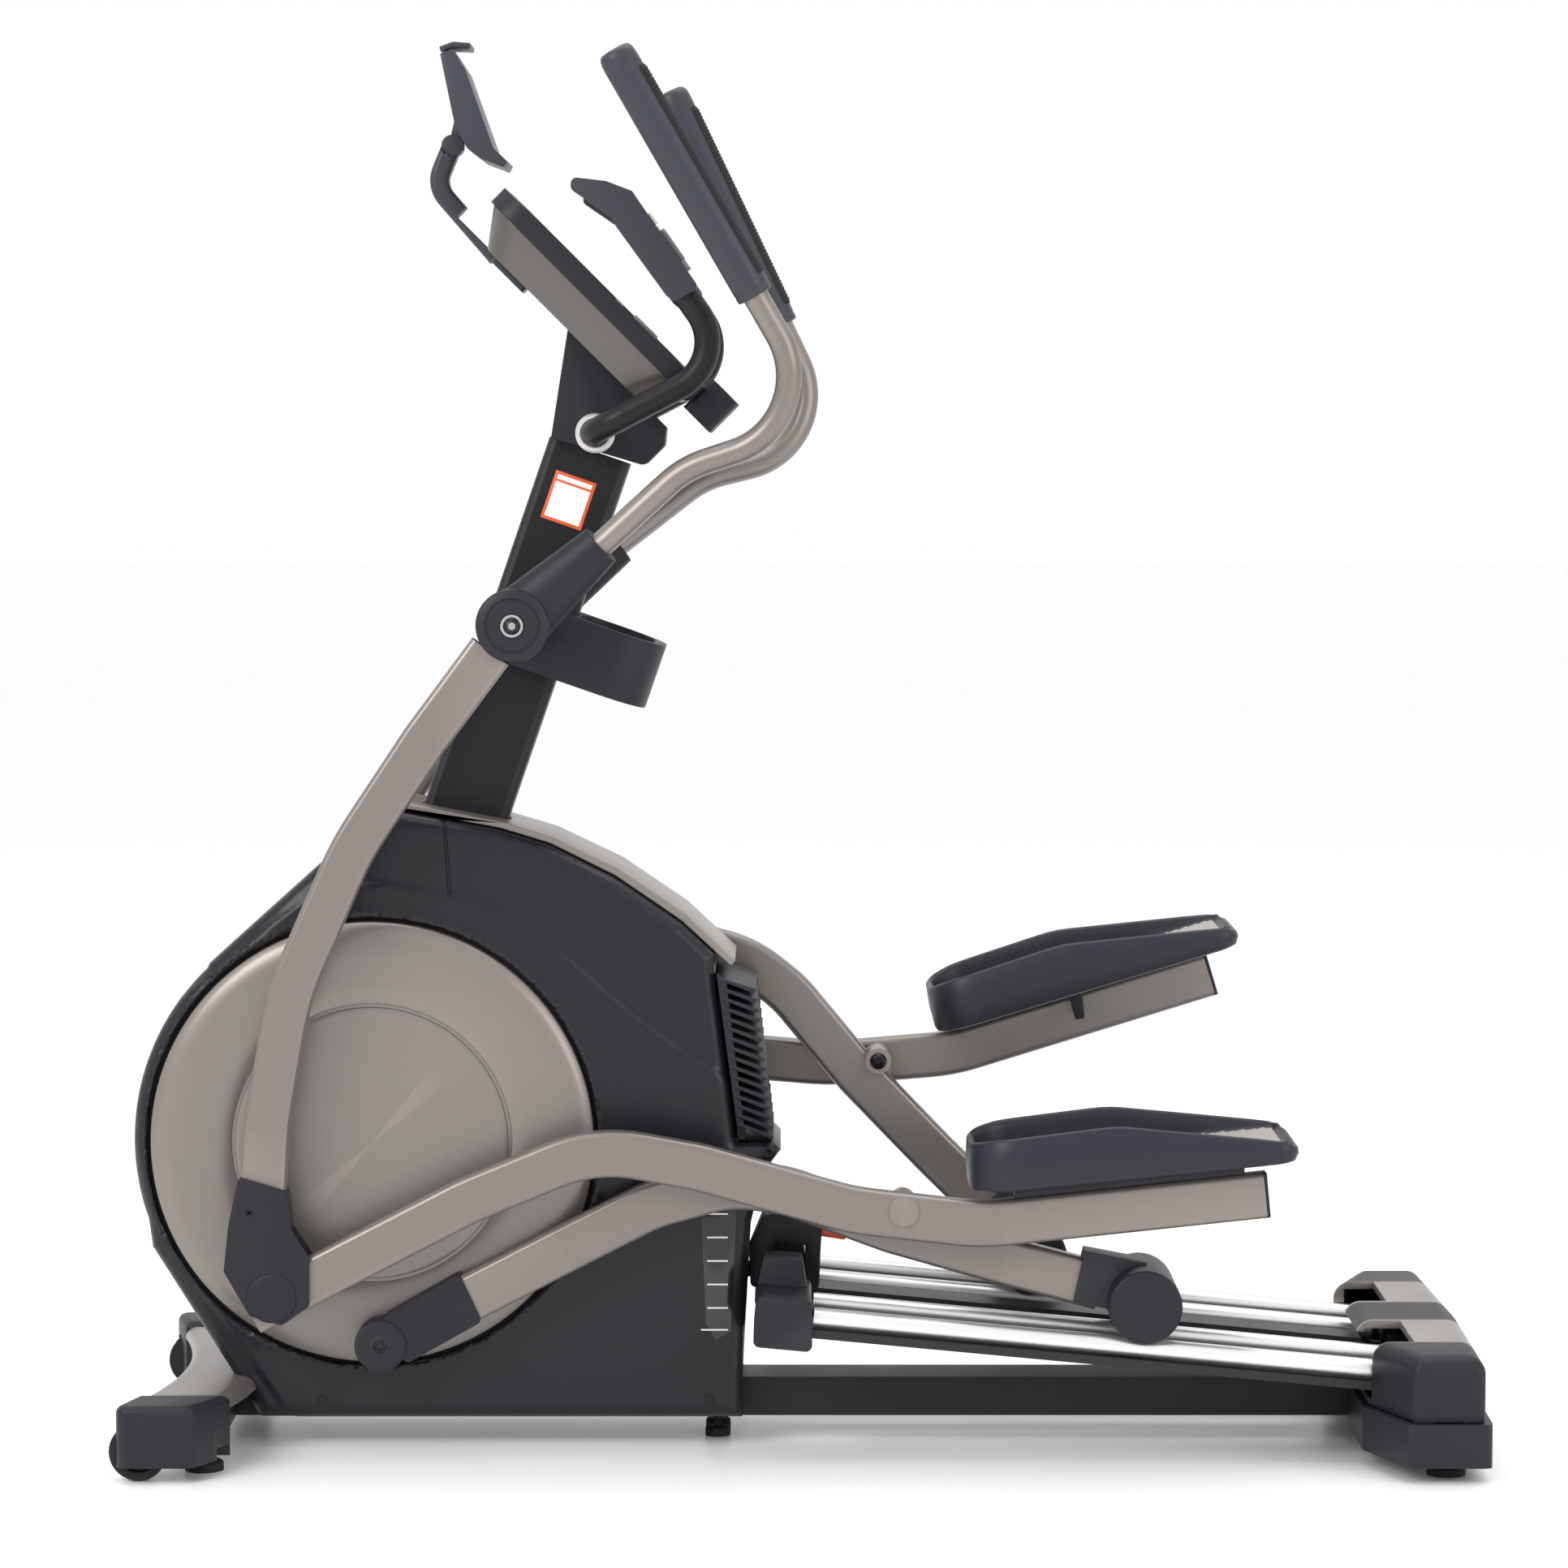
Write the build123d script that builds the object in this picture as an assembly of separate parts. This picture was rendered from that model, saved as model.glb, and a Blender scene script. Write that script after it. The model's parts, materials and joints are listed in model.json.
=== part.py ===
"""Front-drive elliptical trainer with an adjustable ramp, a mast with a console, and two swing arms.

Frame: +X towards the rear (where the user stands), +Y to the user's right, +Z up, millimetres.
The origin is on the floor, under the middle of the machine.
Each side is a six-bar linkage: crank, roller link, pedal arm and swing arm. The left side is drawn
where its crank pin stands near the bottom, and the right side is solved half a turn away from it.
"""

from build123d import *
import math
import os

# ---------------------------------------------------------------- driving dimensions
HALF_LENGTH = 851.0          # front foot to rear foot, halved
HALF_WIDTH = 325.0           # both stabilisers

CRANK_CENTRE = (-545.0, 391.0)
CRANK_RADIUS = 250.0         # half of a 20 inch stride
CRANK_ANGLE = -87.0          # of the left pin, from +X, in degrees
SWING_PIVOT = (-359.8, 1047.4)
ROLLER_AXLE = (425.4, 198.3)       # left side at rest
PEDAL_PIVOT = (124.4, 318.0)       # left side at rest
ARM_JOINT = (-662.6, 210.6)        # left side at rest, where the pedal arm meets the swing arm
RIGHT_HANDLE_TURN = 4.5            # the right handlebar is clamped this much further back, in degrees

RAIL_SLOPE = -0.0938         # rise over run of the rails at rest
RAIL_FRONT = (17.0, 183.0)
RAIL_REAR_X = 742.0
RAMP_PIVOT = (770.0, 112.4)
RAIL_RADIUS = 12.5
RAIL_Y = (89.0, 194.0)       # inner and outer rail of each side
WHEEL_RADIUS = 40.6
WHEEL_WIDTH = 22.0

# layers from the middle outwards, as distances from the centre plane
ARM_LAYER = (74.0, 88.0)     # crank arms
DISC_BACK = 98.0
DISC_FACE = 118.0
LINK_Y = 145.0
LINK_WIDTH = 30.0
SWING_Y = 191.0
SWING_WIDTH = 30.0
PEDAL_Y = 145.0
PEDAL_WIDTH = 190.0
HANDLE_TOP_Y = 280.0

HOUSING_HALF = 110.0
HOUSING_WALL = 3.5
DISC_RADIUS = 280.0
DISC_OPENING = 286.0
HOUSING_ARC = 302.5

MAST_FOOT = (-436.0, 786.0)  # a point on the mast's axis
MAST_LEAN = 19.13            # from the vertical, in degrees
MAST_DEPTH = 108.0
MAST_WIDTH = 60.0
MAST_WALL = 4.0

SHAFT_RADIUS = 20.0
RUNNING_GAP = 0.05
PIN_RADIUS = 9.0

FLYWHEEL_CENTRE = (-300.0, 300.0)
FLYWHEEL_RADIUS = 130.0
FLYWHEEL_AXLE = 10.0
PULLEY_RADIUS = 150.0
SMALL_PULLEY_RADIUS = 30.0
BELT_THICKNESS = 3.0
BELT_GAP = 0.4

CONSOLE_CENTRE = (-248.0, 1464.0)
CONSOLE_WIDTH = 326.0
CONSOLE_HEIGHT = 350.0
CONSOLE_DEPTH = 69.0
BEZEL_DEPTH = 24.0

FOOT_CLEARANCE = 20.0        # covers stand this far off the floor


# ---------------------------------------------------------------- small helpers
def outline(*points):
    """A closed face in the XZ plane's own coordinates."""
    return make_face(Polyline(*points, close=True))


def rounded(face, radius):
    """The same face with each corner rounded."""
    return fillet(face.vertices(), radius)


def prism(face, y_low, y_high):
    """A face given in X and Z, standing between two values of Y."""
    return extrude(Plane.XZ.offset(-y_high) * face, y_high - y_low)


def slab(x0, x1, y0, y1, z0, z1):
    """A plain block from its lowest to its highest corner."""
    return Pos((x0 + x1) / 2, (y0 + y1) / 2, (z0 + z1) / 2) * Box(x1 - x0, y1 - y0, z1 - z0)


def rod(x, z, radius, y_low, y_high):
    """A cylinder along Y."""
    return Pos(x, (y_low + y_high) / 2, z) * Rot(90, 0, 0) * Cylinder(radius, y_high - y_low)


def both_sides(shape):
    """The shape and its mirror image, as separate solids."""
    return Compound(children=[*shape.solids(), *mirror(shape, about=Plane.XZ).solids()])


def turned(shape, centre, degrees):
    """The shape turned about a Y axis through centre, anticlockwise as seen from the left side."""
    x, z = centre
    return Pos(x, 0, z) * Rot(0, -degrees, 0) * Pos(-x, 0, -z) * shape


def sweep_section(section, path, x_dir=(0, 1, 0)):
    """A section swept along a path, upright to its start."""
    start = Plane(origin=path @ 0, z_dir=path % 0, x_dir=x_dir)
    return sweep(start * section, path=path)


def box_tube(points, radii, width, height, corner, wall):
    """A bent tube of rounded rectangular section, width across Y."""
    path = FilletPolyline(*points, radius=radii)
    outer = RectangleRounded(width, height, corner)
    inner = RectangleRounded(width - 2 * wall, height - 2 * wall, corner - wall)
    return sweep_section(outer - inner, path)


def at_y(y, *points):
    """Points given in X and Z, placed at one value of Y."""
    return [(x, y, z) for x, z in points]


# ---------------------------------------------------------------- the linkage
def rail_axle_height(x):
    """Height of a roller's axle where it stands on the rails at x."""
    return ROLLER_AXLE[1] + RAIL_SLOPE * (x - ROLLER_AXLE[0])


def crank_pin(degrees):
    a = math.radians(degrees)
    return (CRANK_CENTRE[0] + CRANK_RADIUS * math.cos(a), CRANK_CENTRE[1] + CRANK_RADIUS * math.sin(a))


def direction(a, b):
    return math.degrees(math.atan2(b[1] - a[1], b[0] - a[0]))


LEFT_PIN = crank_pin(CRANK_ANGLE)
LINK_LENGTH = math.dist(LEFT_PIN, ROLLER_AXLE)
PIVOT_REACH = math.dist(LEFT_PIN, PEDAL_PIVOT)
PIVOT_OFFSET = direction(LEFT_PIN, PEDAL_PIVOT) - direction(LEFT_PIN, ROLLER_AXLE)
ARM_LENGTH = math.dist(ARM_JOINT, PEDAL_PIVOT)
SWING_LENGTH = math.dist(ARM_JOINT, SWING_PIVOT)


def solve_side(crank_degrees):
    """Pin, roller axle, pedal pivot and arm joint of one side at a crank angle."""
    pin = crank_pin(crank_degrees)
    low, high = pin[0], pin[0] + LINK_LENGTH
    for _ in range(60):
        middle = (low + high) / 2
        if math.dist(pin, (middle, rail_axle_height(middle))) > LINK_LENGTH:
            high = middle
        else:
            low = middle
    roller = (low, rail_axle_height(low))
    a = math.radians(direction(pin, roller) + PIVOT_OFFSET)
    pivot = (pin[0] + PIVOT_REACH * math.cos(a), pin[1] + PIVOT_REACH * math.sin(a))
    gap = math.dist(SWING_PIVOT, pivot)
    along = (SWING_LENGTH**2 - ARM_LENGTH**2 + gap**2) / (2 * gap)
    across = math.sqrt(SWING_LENGTH**2 - along**2)
    ux, uz = (pivot[0] - SWING_PIVOT[0]) / gap, (pivot[1] - SWING_PIVOT[1]) / gap
    joint = (SWING_PIVOT[0] + along * ux + across * uz, SWING_PIVOT[1] + along * uz - across * ux)
    return {"pin": pin, "roller": roller, "pivot": pivot, "joint": joint}


LEFT = solve_side(CRANK_ANGLE)
RIGHT = solve_side(CRANK_ANGLE + 180)
RIGHT_SWING_TURN = direction(SWING_PIVOT, RIGHT["joint"]) - direction(SWING_PIVOT, LEFT["joint"])


def carried(shape, start, end):
    """The left side's shape as its mirror image on the right, carried from one line to another."""
    other = turned(mirror(shape, about=Plane.XZ), start[0], direction(*end) - direction(*start))
    return Pos(end[0][0] - start[0][0], 0, end[0][1] - start[0][1]) * other


# ---------------------------------------------------------------- frame and feet
def mast_plane(z):
    """A plane across the mast's axis where the axis is at height z."""
    lean = math.radians(MAST_LEAN)
    x = MAST_FOOT[0] + (z - MAST_FOOT[1]) * math.tan(lean)
    return Plane(origin=(x, 0, z), x_dir=(math.cos(lean), 0, -math.sin(lean)),
                 z_dir=(math.sin(lean), 0, math.cos(lean)))


def mast_length(z0, z1):
    return (z1 - z0) / math.cos(math.radians(MAST_LEAN))


def mast_solid(z0, z1, grow=0.0, corner=12.0):
    """The mast's outside shape between two heights, grown on every side."""
    section = RectangleRounded(MAST_DEPTH + 2 * grow, MAST_WIDTH + 2 * grow, corner)
    return extrude(mast_plane(z0) * section, mast_length(z0, z1))


BEAM_Z = (28.0, 78.0)
BEAM_HALF = 40.0
BEARING_HALF = 50.0


def main_frame():
    wall = 3.0
    beam = slab(-760, 800, -BEAM_HALF, BEAM_HALF, *BEAM_Z)
    beam -= slab(-757, 797, -BEAM_HALF + wall, BEAM_HALF - wall, BEAM_Z[0] + wall, BEAM_Z[1] - wall)
    front = slab(-765, -725, -270, 270, 32, 66) - slab(-762, -728, -271, 271, 35, 63)
    rear = slab(776, 812, -285, 285, 34, 78) - slab(779, 809, -286, 286, 37, 75)
    plate = outline((-650, 70), (-440, 70), (-478, 330), (-452, 620), (-540, 620), (-612, 391))
    supports = prism(plate, 34, 42) + prism(plate, -42, -34)
    stub_outer = extrude(mast_plane(420) * RectangleRounded(98, 50, 9), mast_length(420, 700))
    stub_inner = extrude(mast_plane(420) * Rectangle(90, 44), mast_length(420, 701))
    bearing = rod(*CRANK_CENTRE, 32, -BEARING_HALF, BEARING_HALF)
    bearing_bore = rod(*CRANK_CENTRE, SHAFT_RADIUS + RUNNING_GAP, -60, 60)
    bracket = slab(-345, -255, -8, 2, 70, 335)
    axle = rod(*FLYWHEEL_CENTRE, FLYWHEEL_AXLE, 0, 72)
    frame = beam + front + rear + supports + (stub_outer - stub_inner) + bearing + bracket + axle
    pivot_ears = prism(outline((745, 70), (810, 70), (790, 132), (750, 132)), 30, 38)
    pivot_ears += prism(outline((745, 70), (810, 70), (790, 132), (750, 132)), -38, -30)
    frame += pivot_ears + rod(*RAMP_PIVOT, 8, -240, 240)
    return frame - bearing_bore


def mast_post():
    inner = RectangleRounded(MAST_DEPTH - 2 * MAST_WALL, MAST_WIDTH - 2 * MAST_WALL, 8)
    post = mast_solid(600, 1262) - extrude(mast_plane(600) * inner, mast_length(600, 1263))
    bosses = rod(*SWING_PIVOT, 24, 29, 120) + rod(*SWING_PIVOT, 24, -120, -29)
    return post + bosses - rod(*SWING_PIVOT, 12, -130, 130)


def bowed_bar(x_mid, x_end, depth, z0, z1, y0, y1, corner):
    """A cover that runs across the machine, its ends swept forward of its middle."""
    def edge(y):
        return x_mid + (x_end - x_mid) * (y / HALF_WIDTH) ** 2
    steps = [y0 + (y1 - y0) * i / 4 for i in range(5)]
    front = [(edge(y), y) for y in steps]
    back = [(edge(y) + depth, y) for y in reversed(steps)]
    plan = make_face([Spline(*front), Line(front[-1], back[0]), Spline(*back), Line(back[-1], front[0])])
    bar = extrude(Pos(0, 0, z0) * plan, z1 - z0)
    top = bar.edges().filter_by_position(Axis.Z, z1 - 0.1, z1 + 0.1)
    return fillet(top, corner)


FRONT_FOOT = {"x_mid": -795.0, "x_end": -HALF_LENGTH, "depth": 106.0}


def front_foot_cover():
    cover = bowed_bar(FRONT_FOOT["x_mid"], FRONT_FOOT["x_end"], FRONT_FOOT["depth"], 24, 92, -242, 242, 16)
    return cover - slab(-900, -600, -243, 243, 0, 74) - slab(-770, -600, -BEAM_HALF - 1, BEAM_HALF + 1, 0, 84)


def front_end_caps():
    plan = outline((-826, 244), (-838, 285), (-849, 325), (-751, 325), (-728, 285), (-712, 244))
    plan = fillet(plan.vertices().filter_by_position(Axis.Y, 324, 326), 16)
    cap = extrude(Pos(0, 0, FOOT_CLEARANCE) * plan, 96 - FOOT_CLEARANCE)
    cap = fillet(cap.edges().filter_by_position(Axis.Z, 95.9, 96.1), 10)
    cap -= slab(-768, -722, 200, 272, 30, 68) + slab(-790, -700, 246, 276, 0, 34)
    return both_sides(cap - wheel_pocket() + rod(*TRANSPORT_AXLE, 5, 280, 310))


TRANSPORT_AXLE = (-818.0, 37.0)
TRANSPORT_RADIUS = 36.0


def wheel_pocket():
    return rod(*TRANSPORT_AXLE, TRANSPORT_RADIUS + 3, 282, 308)


def transport_wheel():
    """The left wheel, with its tread proud of a dished face."""
    wheel = rod(*TRANSPORT_AXLE, TRANSPORT_RADIUS, -306, -284)
    wheel -= rod(*TRANSPORT_AXLE, TRANSPORT_RADIUS - 10, -310, -300)
    return wheel - rod(*TRANSPORT_AXLE, 5 + RUNNING_GAP, -320, -270)


def rear_plan(grow):
    """The rear foot seen from above: blunt ends, a straight middle."""
    front, back = 704 - grow, HALF_LENGTH - 16 + grow
    half = HALF_WIDTH - 8 + grow
    plan = outline((front, -half + 112), (front + 44, -half), (back, -half), (back + 8, 0),
                   (back, half), (front + 44, half), (front, half - 112))
    return fillet(plan.vertices(), 10)


def rear_foot_cover():
    body = extrude(Pos(0, 0, 76) * rear_plan(0), 80)
    top = body.edges().filter_by_position(Axis.Z, 155.9, 156.1)
    body = fillet(top, 22)
    hollow = extrude(Pos(0, 0, 60) * rear_plan(-10), 86)
    slot = prism(outline((600, 84), (760, 84), (760, 160), (600, 220)), 70, 213)
    slots = slot + mirror(slot, about=Plane.XZ)
    return body - hollow - slots - slab(690, 760, -70, 70, 70, 142)


def rear_foot_skirt():
    body = extrude(Pos(0, 0, FOOT_CLEARANCE) * rear_plan(8), 54) - extrude(rear_plan(-4), 90)
    return body - slab(600, 740, -BEAM_HALF - 2, BEAM_HALF + 2, 0, 90)


def rear_foot():
    return Compound(children=[*rear_foot_cover().solids(), *rear_foot_skirt().solids()])


def levelling_feet():
    """Screw feet with rubber pads: two under the rear foot, two under the front, two under the beam."""
    feet = []
    for x, y, top in [(794, 262, 33.5), (-745, 236, 31.5), (-110, 26, 27.5)]:
        for side in (-1, 1):
            pad = Pos(x, side * y, 6) * Cylinder(24 if y > 100 else 16, 12)
            stem = Pos(x, side * y, (12 + top) / 2) * Cylinder(5, top - 12)
            feet.append(fillet(pad.edges().sort_by(Axis.Z)[-1], 4) + stem)
    return Compound(children=[f.solid() for f in feet])


# ---------------------------------------------------------------- housing
HOUSING_OUTLINE = [(-690, 37), (-826, 255), (-846, 420), (-751, 616), (-552, 795), (-532, 813),
                   (-382, 785), (-320, 766), (-238, 725), (-155, 668), (-88, 606), (-67, 596),
                   (-47, 410), (-29, 379), (-52, 348), (-67, 286), (-78, 80), (-78, 37)]
GRILLE_REGION = [(-112, 607), (-20, 600), (-20, 390), (-84, 390)]


def housing_profile(inset):
    """The casing's side view: a body round the disc, with its top and rear."""
    body = outline(*HOUSING_OUTLINE) + Pos(*CRANK_CENTRE) * Circle(HOUSING_ARC)
    return offset(body, -inset, kind=Kind.INTERSECTION) if inset else body


def housing_shell():
    """The left half of the casing, open towards the middle."""
    side = prism(housing_profile(0), -HOUSING_HALF, 0)
    rim = side.edges().filter_by_position(Axis.Y, -HOUSING_HALF - 0.1, -HOUSING_HALF + 0.1)
    side = chamfer(rim, 6)
    side -= prism(housing_profile(HOUSING_WALL), -HOUSING_HALF + HOUSING_WALL, 1)
    side -= rod(*CRANK_CENTRE, DISC_OPENING, -130, -90)
    side -= mast_solid(640, 900, grow=2.0)
    side -= slab(-300, 0, -BEAM_HALF - 2, 1, 0, 82)
    side -= slab(-700, -100, -BEAM_HALF - 2, 1, 0, 60)
    side -= slab(-120, 0, -34, 1, 105, 388)
    side -= slab(-900, -655, -200, 1, 0, 99)
    side -= prism(outline(*GRILLE_REGION), -130, 1)
    return side


def rear_grille():
    """A spine across the back of the casing with slanted fins on it."""
    spine = prism(outline((-110, 604), (-98, 597), (-74, 394), (-82, 394)), -107, 107)
    fins = []
    for i in range(16):
        z = 403 + 12.4 * i
        x0 = -82 - 26 * i / 15
        x1 = -38 - 22 * i / 15
        fins.append(prism(outline((x0, z + 12), (x0, z + 8), (x1 - 3, z - 9), (x1, z - 7), (x1, z - 4)), -108, 108))
    for fin in fins:
        spine += fin
    return spine


def top_trim():
    """The light strip over the casing, from ahead of the mast down to the rear."""
    under = [(-546, 801.5), (-533, 815.0), (-382, 786.5), (-320, 767.5), (-238, 726.5), (-155, 669.5), (-92, 611.5)]
    over = [(-86, 619), (-150, 679), (-234, 736), (-318, 776), (-381, 795), (-528, 823), (-552, 806)]
    strip = prism(outline(*under, *over), -86, 86)
    return strip - mast_solid(640, 900, grow=2.0)


# ---------------------------------------------------------------- drive
def crankset():
    """Shaft, two arms half a turn apart, and their pins."""
    shaft = rod(*CRANK_CENTRE, SHAFT_RADIUS, -ARM_LAYER[1], ARM_LAYER[1])
    for pin, side in ((LEFT["pin"], -1), (RIGHT["pin"], 1)):
        y0, y1 = sorted((side * ARM_LAYER[0], side * ARM_LAYER[1]))
        bar = Rectangle(CRANK_RADIUS, 46)
        middle = ((pin[0] + CRANK_CENTRE[0]) / 2, (pin[1] + CRANK_CENTRE[1]) / 2)
        face = Pos(*middle) * Rot(0, 0, direction(CRANK_CENTRE, pin)) * bar
        shaft += prism(face, y0, y1) + rod(*pin, 23, y0, y1) + rod(*CRANK_CENTRE, 34, y0, y1)
        shaft += rod(*pin, PIN_RADIUS, *sorted((side * ARM_LAYER[1], side * 127)))
    return shaft


def disc_cover(pin, side):
    """A domed disc that turns with the crank, with a raised ring round a flat middle."""
    profile = [(0, 112), (0, 118), (172, 118), (172, 115), (177, 115), (177, 120), (252, 122.5),
               (270, 120), (280, 112), (280, DISC_BACK), (277, DISC_BACK), (277, 110), (268, 114), (176, 112)]
    face = make_face(Polyline(*profile, close=True))
    disc = revolve(face, Axis.Y)
    hub = Pos(0, 100, 0) * Rot(90, 0, 0) * Cylinder(40, 24)
    disc = Pos(CRANK_CENTRE[0], 0, CRANK_CENTRE[1]) * (disc + hub)
    if side < 0:
        disc = mirror(disc, about=Plane.XZ)
    return disc - rod(*pin, PIN_RADIUS + 0.5, *sorted((side * 90, side * 140)))


def drive_pulley():
    wheel = rod(*CRANK_CENTRE, PULLEY_RADIUS, 57, 69) - rod(*CRANK_CENTRE, PULLEY_RADIUS - 10, 62, 70)
    wheel += rod(*CRANK_CENTRE, 34, 52, 72)
    for i in range(6):
        a = math.radians(60 * i + 30)
        wheel -= rod(CRANK_CENTRE[0] + 85 * math.cos(a), CRANK_CENTRE[1] + 85 * math.sin(a), 28, 50, 75)
    return wheel - rod(*CRANK_CENTRE, SHAFT_RADIUS, 50, 75)


def flywheel():
    wheel = rod(*FLYWHEEL_CENTRE, FLYWHEEL_RADIUS, 22, 50) - rod(*FLYWHEEL_CENTRE, 100, 30, 51)
    wheel += rod(*FLYWHEEL_CENTRE, 24, 12, 70) + rod(*FLYWHEEL_CENTRE, SMALL_PULLEY_RADIUS, 57, 69)
    return wheel - rod(*FLYWHEEL_CENTRE, FLYWHEEL_AXLE + RUNNING_GAP, 5, 75)


def loop_face(grow):
    """Outline of a belt round both pulleys, grown outwards."""
    (x1, z1), (x2, z2) = CRANK_CENTRE, FLYWHEEL_CENTRE
    r1, r2 = PULLEY_RADIUS + grow, SMALL_PULLEY_RADIUS + grow
    gap = math.dist(CRANK_CENTRE, FLYWHEEL_CENTRE)
    base, side = math.atan2(z2 - z1, x2 - x1), math.acos((r1 - r2) / gap)
    corners = []
    for a in (base + side, base - side):
        corners.append([(x1 + r1 * math.cos(a), z1 + r1 * math.sin(a)), (x2 + r2 * math.cos(a), z2 + r2 * math.sin(a))])
    quad = outline(corners[0][0], corners[0][1], corners[1][1], corners[1][0])
    return quad + Pos(x1, z1) * Circle(r1) + Pos(x2, z2) * Circle(r2)


def drive_belt():
    return prism(loop_face(BELT_GAP + BELT_THICKNESS) - loop_face(BELT_GAP), 58, 68)


# ---------------------------------------------------------------- console and handlebar
def console_plane(depth=0.0):
    """A plane along the console's face, depth behind it. Its x runs to the right, its y up the face."""
    normal = Vector(math.sin(math.pi / 4), 0, math.cos(math.pi / 4))
    origin = Vector(CONSOLE_CENTRE[0], 0, CONSOLE_CENTRE[1]) - normal * depth
    return Plane(origin=origin, x_dir=(0, 1, 0), z_dir=normal)


def console_back():
    wide = (CONSOLE_WIDTH - 8, CONSOLE_HEIGHT - 8)
    narrow = (CONSOLE_WIDTH - 50, CONSOLE_HEIGHT - 74)
    near, far = console_plane(BEZEL_DEPTH), console_plane(CONSOLE_DEPTH)
    shell = loft([near * RectangleRounded(*wide, 50), far * RectangleRounded(*narrow, 36)])
    inner = loft([console_plane(BEZEL_DEPTH - 1) * RectangleRounded(wide[0] - 8, wide[1] - 8, 46),
                  console_plane(CONSOLE_DEPTH - 4) * RectangleRounded(narrow[0] - 8, narrow[1] - 8, 32)])
    return shell - inner


def console_bezel():
    frame = extrude(console_plane(BEZEL_DEPTH) * RectangleRounded(CONSOLE_WIDTH, CONSOLE_HEIGHT, 42), BEZEL_DEPTH)
    recess = extrude(console_plane(6) * Pos(0, 14) * RectangleRounded(276, 286, 26), 10)
    hollow = extrude(console_plane(BEZEL_DEPTH) * Pos(0, 14) * RectangleRounded(264, 274, 20), BEZEL_DEPTH - 8)
    ledge = extrude(console_plane(35) * Pos(0, -196) * RectangleRounded(236, 46, 8), 50)
    trough = extrude(console_plane(27) * Pos(0, -192) * RectangleRounded(220, 26, 6), 60)
    return frame - recess - hollow + (ledge - trough)


def console_face():
    """The flat panel that carries the display and the keys."""
    return extrude(console_plane(6) * Pos(0, 14) * RectangleRounded(275, 285, 25.5), 2.8)


def console_neck():
    body = outline((-319, 1278), (-297.5, 1414), (-174, 1290.5), (-176, 1268), (-201, 1243))
    neck = prism(body, -50, 50)
    neck = fillet(neck.edges().filter_by(Axis.Y).sort_by(Axis.Z)[:2], 10)
    neck -= mast_solid(1150, 1264, grow=0.6)
    rings = rod(-263, 1284, 25, 46, 56) + rod(-263, 1284, 25, -56, -46)
    return neck + rings - rod(-263, 1284, PULSE_RADIUS + 0.3, -80, 80)


def pulse_bar_path():
    half = [(-221, -190, 1560), (-90, -184, 1374), (-263, -184, 1284)]
    other = [(x, -y, z) for x, y, z in reversed(half)]
    return FilletPolyline(*half, *other, radius=[62, 45, 45, 62])


PULSE_RADIUS = 16.0


def pulse_handlebar():
    return sweep_section(Circle(PULSE_RADIUS) - Circle(PULSE_RADIUS - 2.5), pulse_bar_path(), x_dir=(1, 0, 0))


def pulse_grips():
    side = outline((-160, 1445), (-129, 1462), (-203, 1568), (-211, 1580), (-243, 1592),
                   (-285, 1597), (-287, 1583), (-240, 1551), (-229, 1534), (-170, 1453))
    grip = prism(side, -208, -169)
    grip = fillet(grip.edges().filter_by(Axis.Y), 7)
    filled = sweep_section(Circle(PULSE_RADIUS), pulse_bar_path(), x_dir=(1, 0, 0))
    return both_sides((grip - filled).solids().sort_by(SortBy.VOLUME)[-1])


KEY_PLANE = Plane(origin=(-165.1, -188.5, 1512.7), x_dir=(0, 1, 0), z_dir=(0.82, 0, 0.572))


def grip_key():
    """A rocker key on the user's side of the left pulse grip."""
    return extrude(KEY_PLANE * RectangleRounded(17, 46, 6), 7)


def key_pocket():
    return extrude(KEY_PLANE.offset(-3.5) * RectangleRounded(18.4, 47.4, 6.5), 30)


def accessory_tray():
    """A bowl round the mast, square to it, with a well behind."""
    level = mast_plane(992)
    bowl = extrude(level * Pos(50, 0) * RectangleRounded(244, 176, 62), 83)
    bowl -= extrude(level.offset(8) * Pos(106, 0) * RectangleRounded(100, 152, 40), 100)
    bowl -= extrude(level * Pos(-52, 0) * Rectangle(40, 300), 120)
    return bowl - mast_solid(800, 1200, grow=0.6) - rod(*SWING_PIVOT, 25, -130, 130)


TABLET_HINGE = (-444.0, 1646.0)


def tablet_arm():
    """A curved arm from the console's back up to the cradle's hinge."""
    path = FilletPolyline(*at_y(0, (-388, 1506), (-466, 1596), (-446, 1644)), radius=[34])
    arm = sweep_section(RectangleRounded(40, 24, 8), path)
    foot = extrude(console_plane(CONSOLE_DEPTH + 0.3) * Pos(0, 104) * RectangleRounded(60, 60, 8), -9)
    body = arm + foot - extrude(console_plane(CONSOLE_DEPTH + 0.2) * Rectangle(300, 400), 60)
    return body - rod(*TABLET_HINGE, 14.4, -30, 30)


def jaw_point(down, out):
    """A point down from the cradle's top along its slot, and out towards the user."""
    return (-446 + 0.333 * down + 0.943 * out, 1760 - 0.943 * down + 0.333 * out)


def jaw_strip(top, bottom, half):
    return outline(jaw_point(top, -half), jaw_point(top, half), jaw_point(bottom, half), jaw_point(bottom, -half))


def tablet_cradle():
    """The plate a tablet leans on, its lower lip, and the hinge knuckle behind it."""
    side = outline((-455, 1757), (-440, 1763), (-424, 1738), (-389, 1640), (-372, 1624), (-376, 1616),
                   (-403, 1626), (-422, 1640), (-437, 1668))
    knuckle = prism(outline((-448, 1650), (-436, 1644), (-424, 1652), (-434, 1684), (-440, 1684)), -12, 12)
    cradle = prism(side, -70, 70) + knuckle + rod(*TABLET_HINGE, 14, -14, 14)
    return cradle - prism(jaw_strip(-40, 84, 6), -16, 16)


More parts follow.
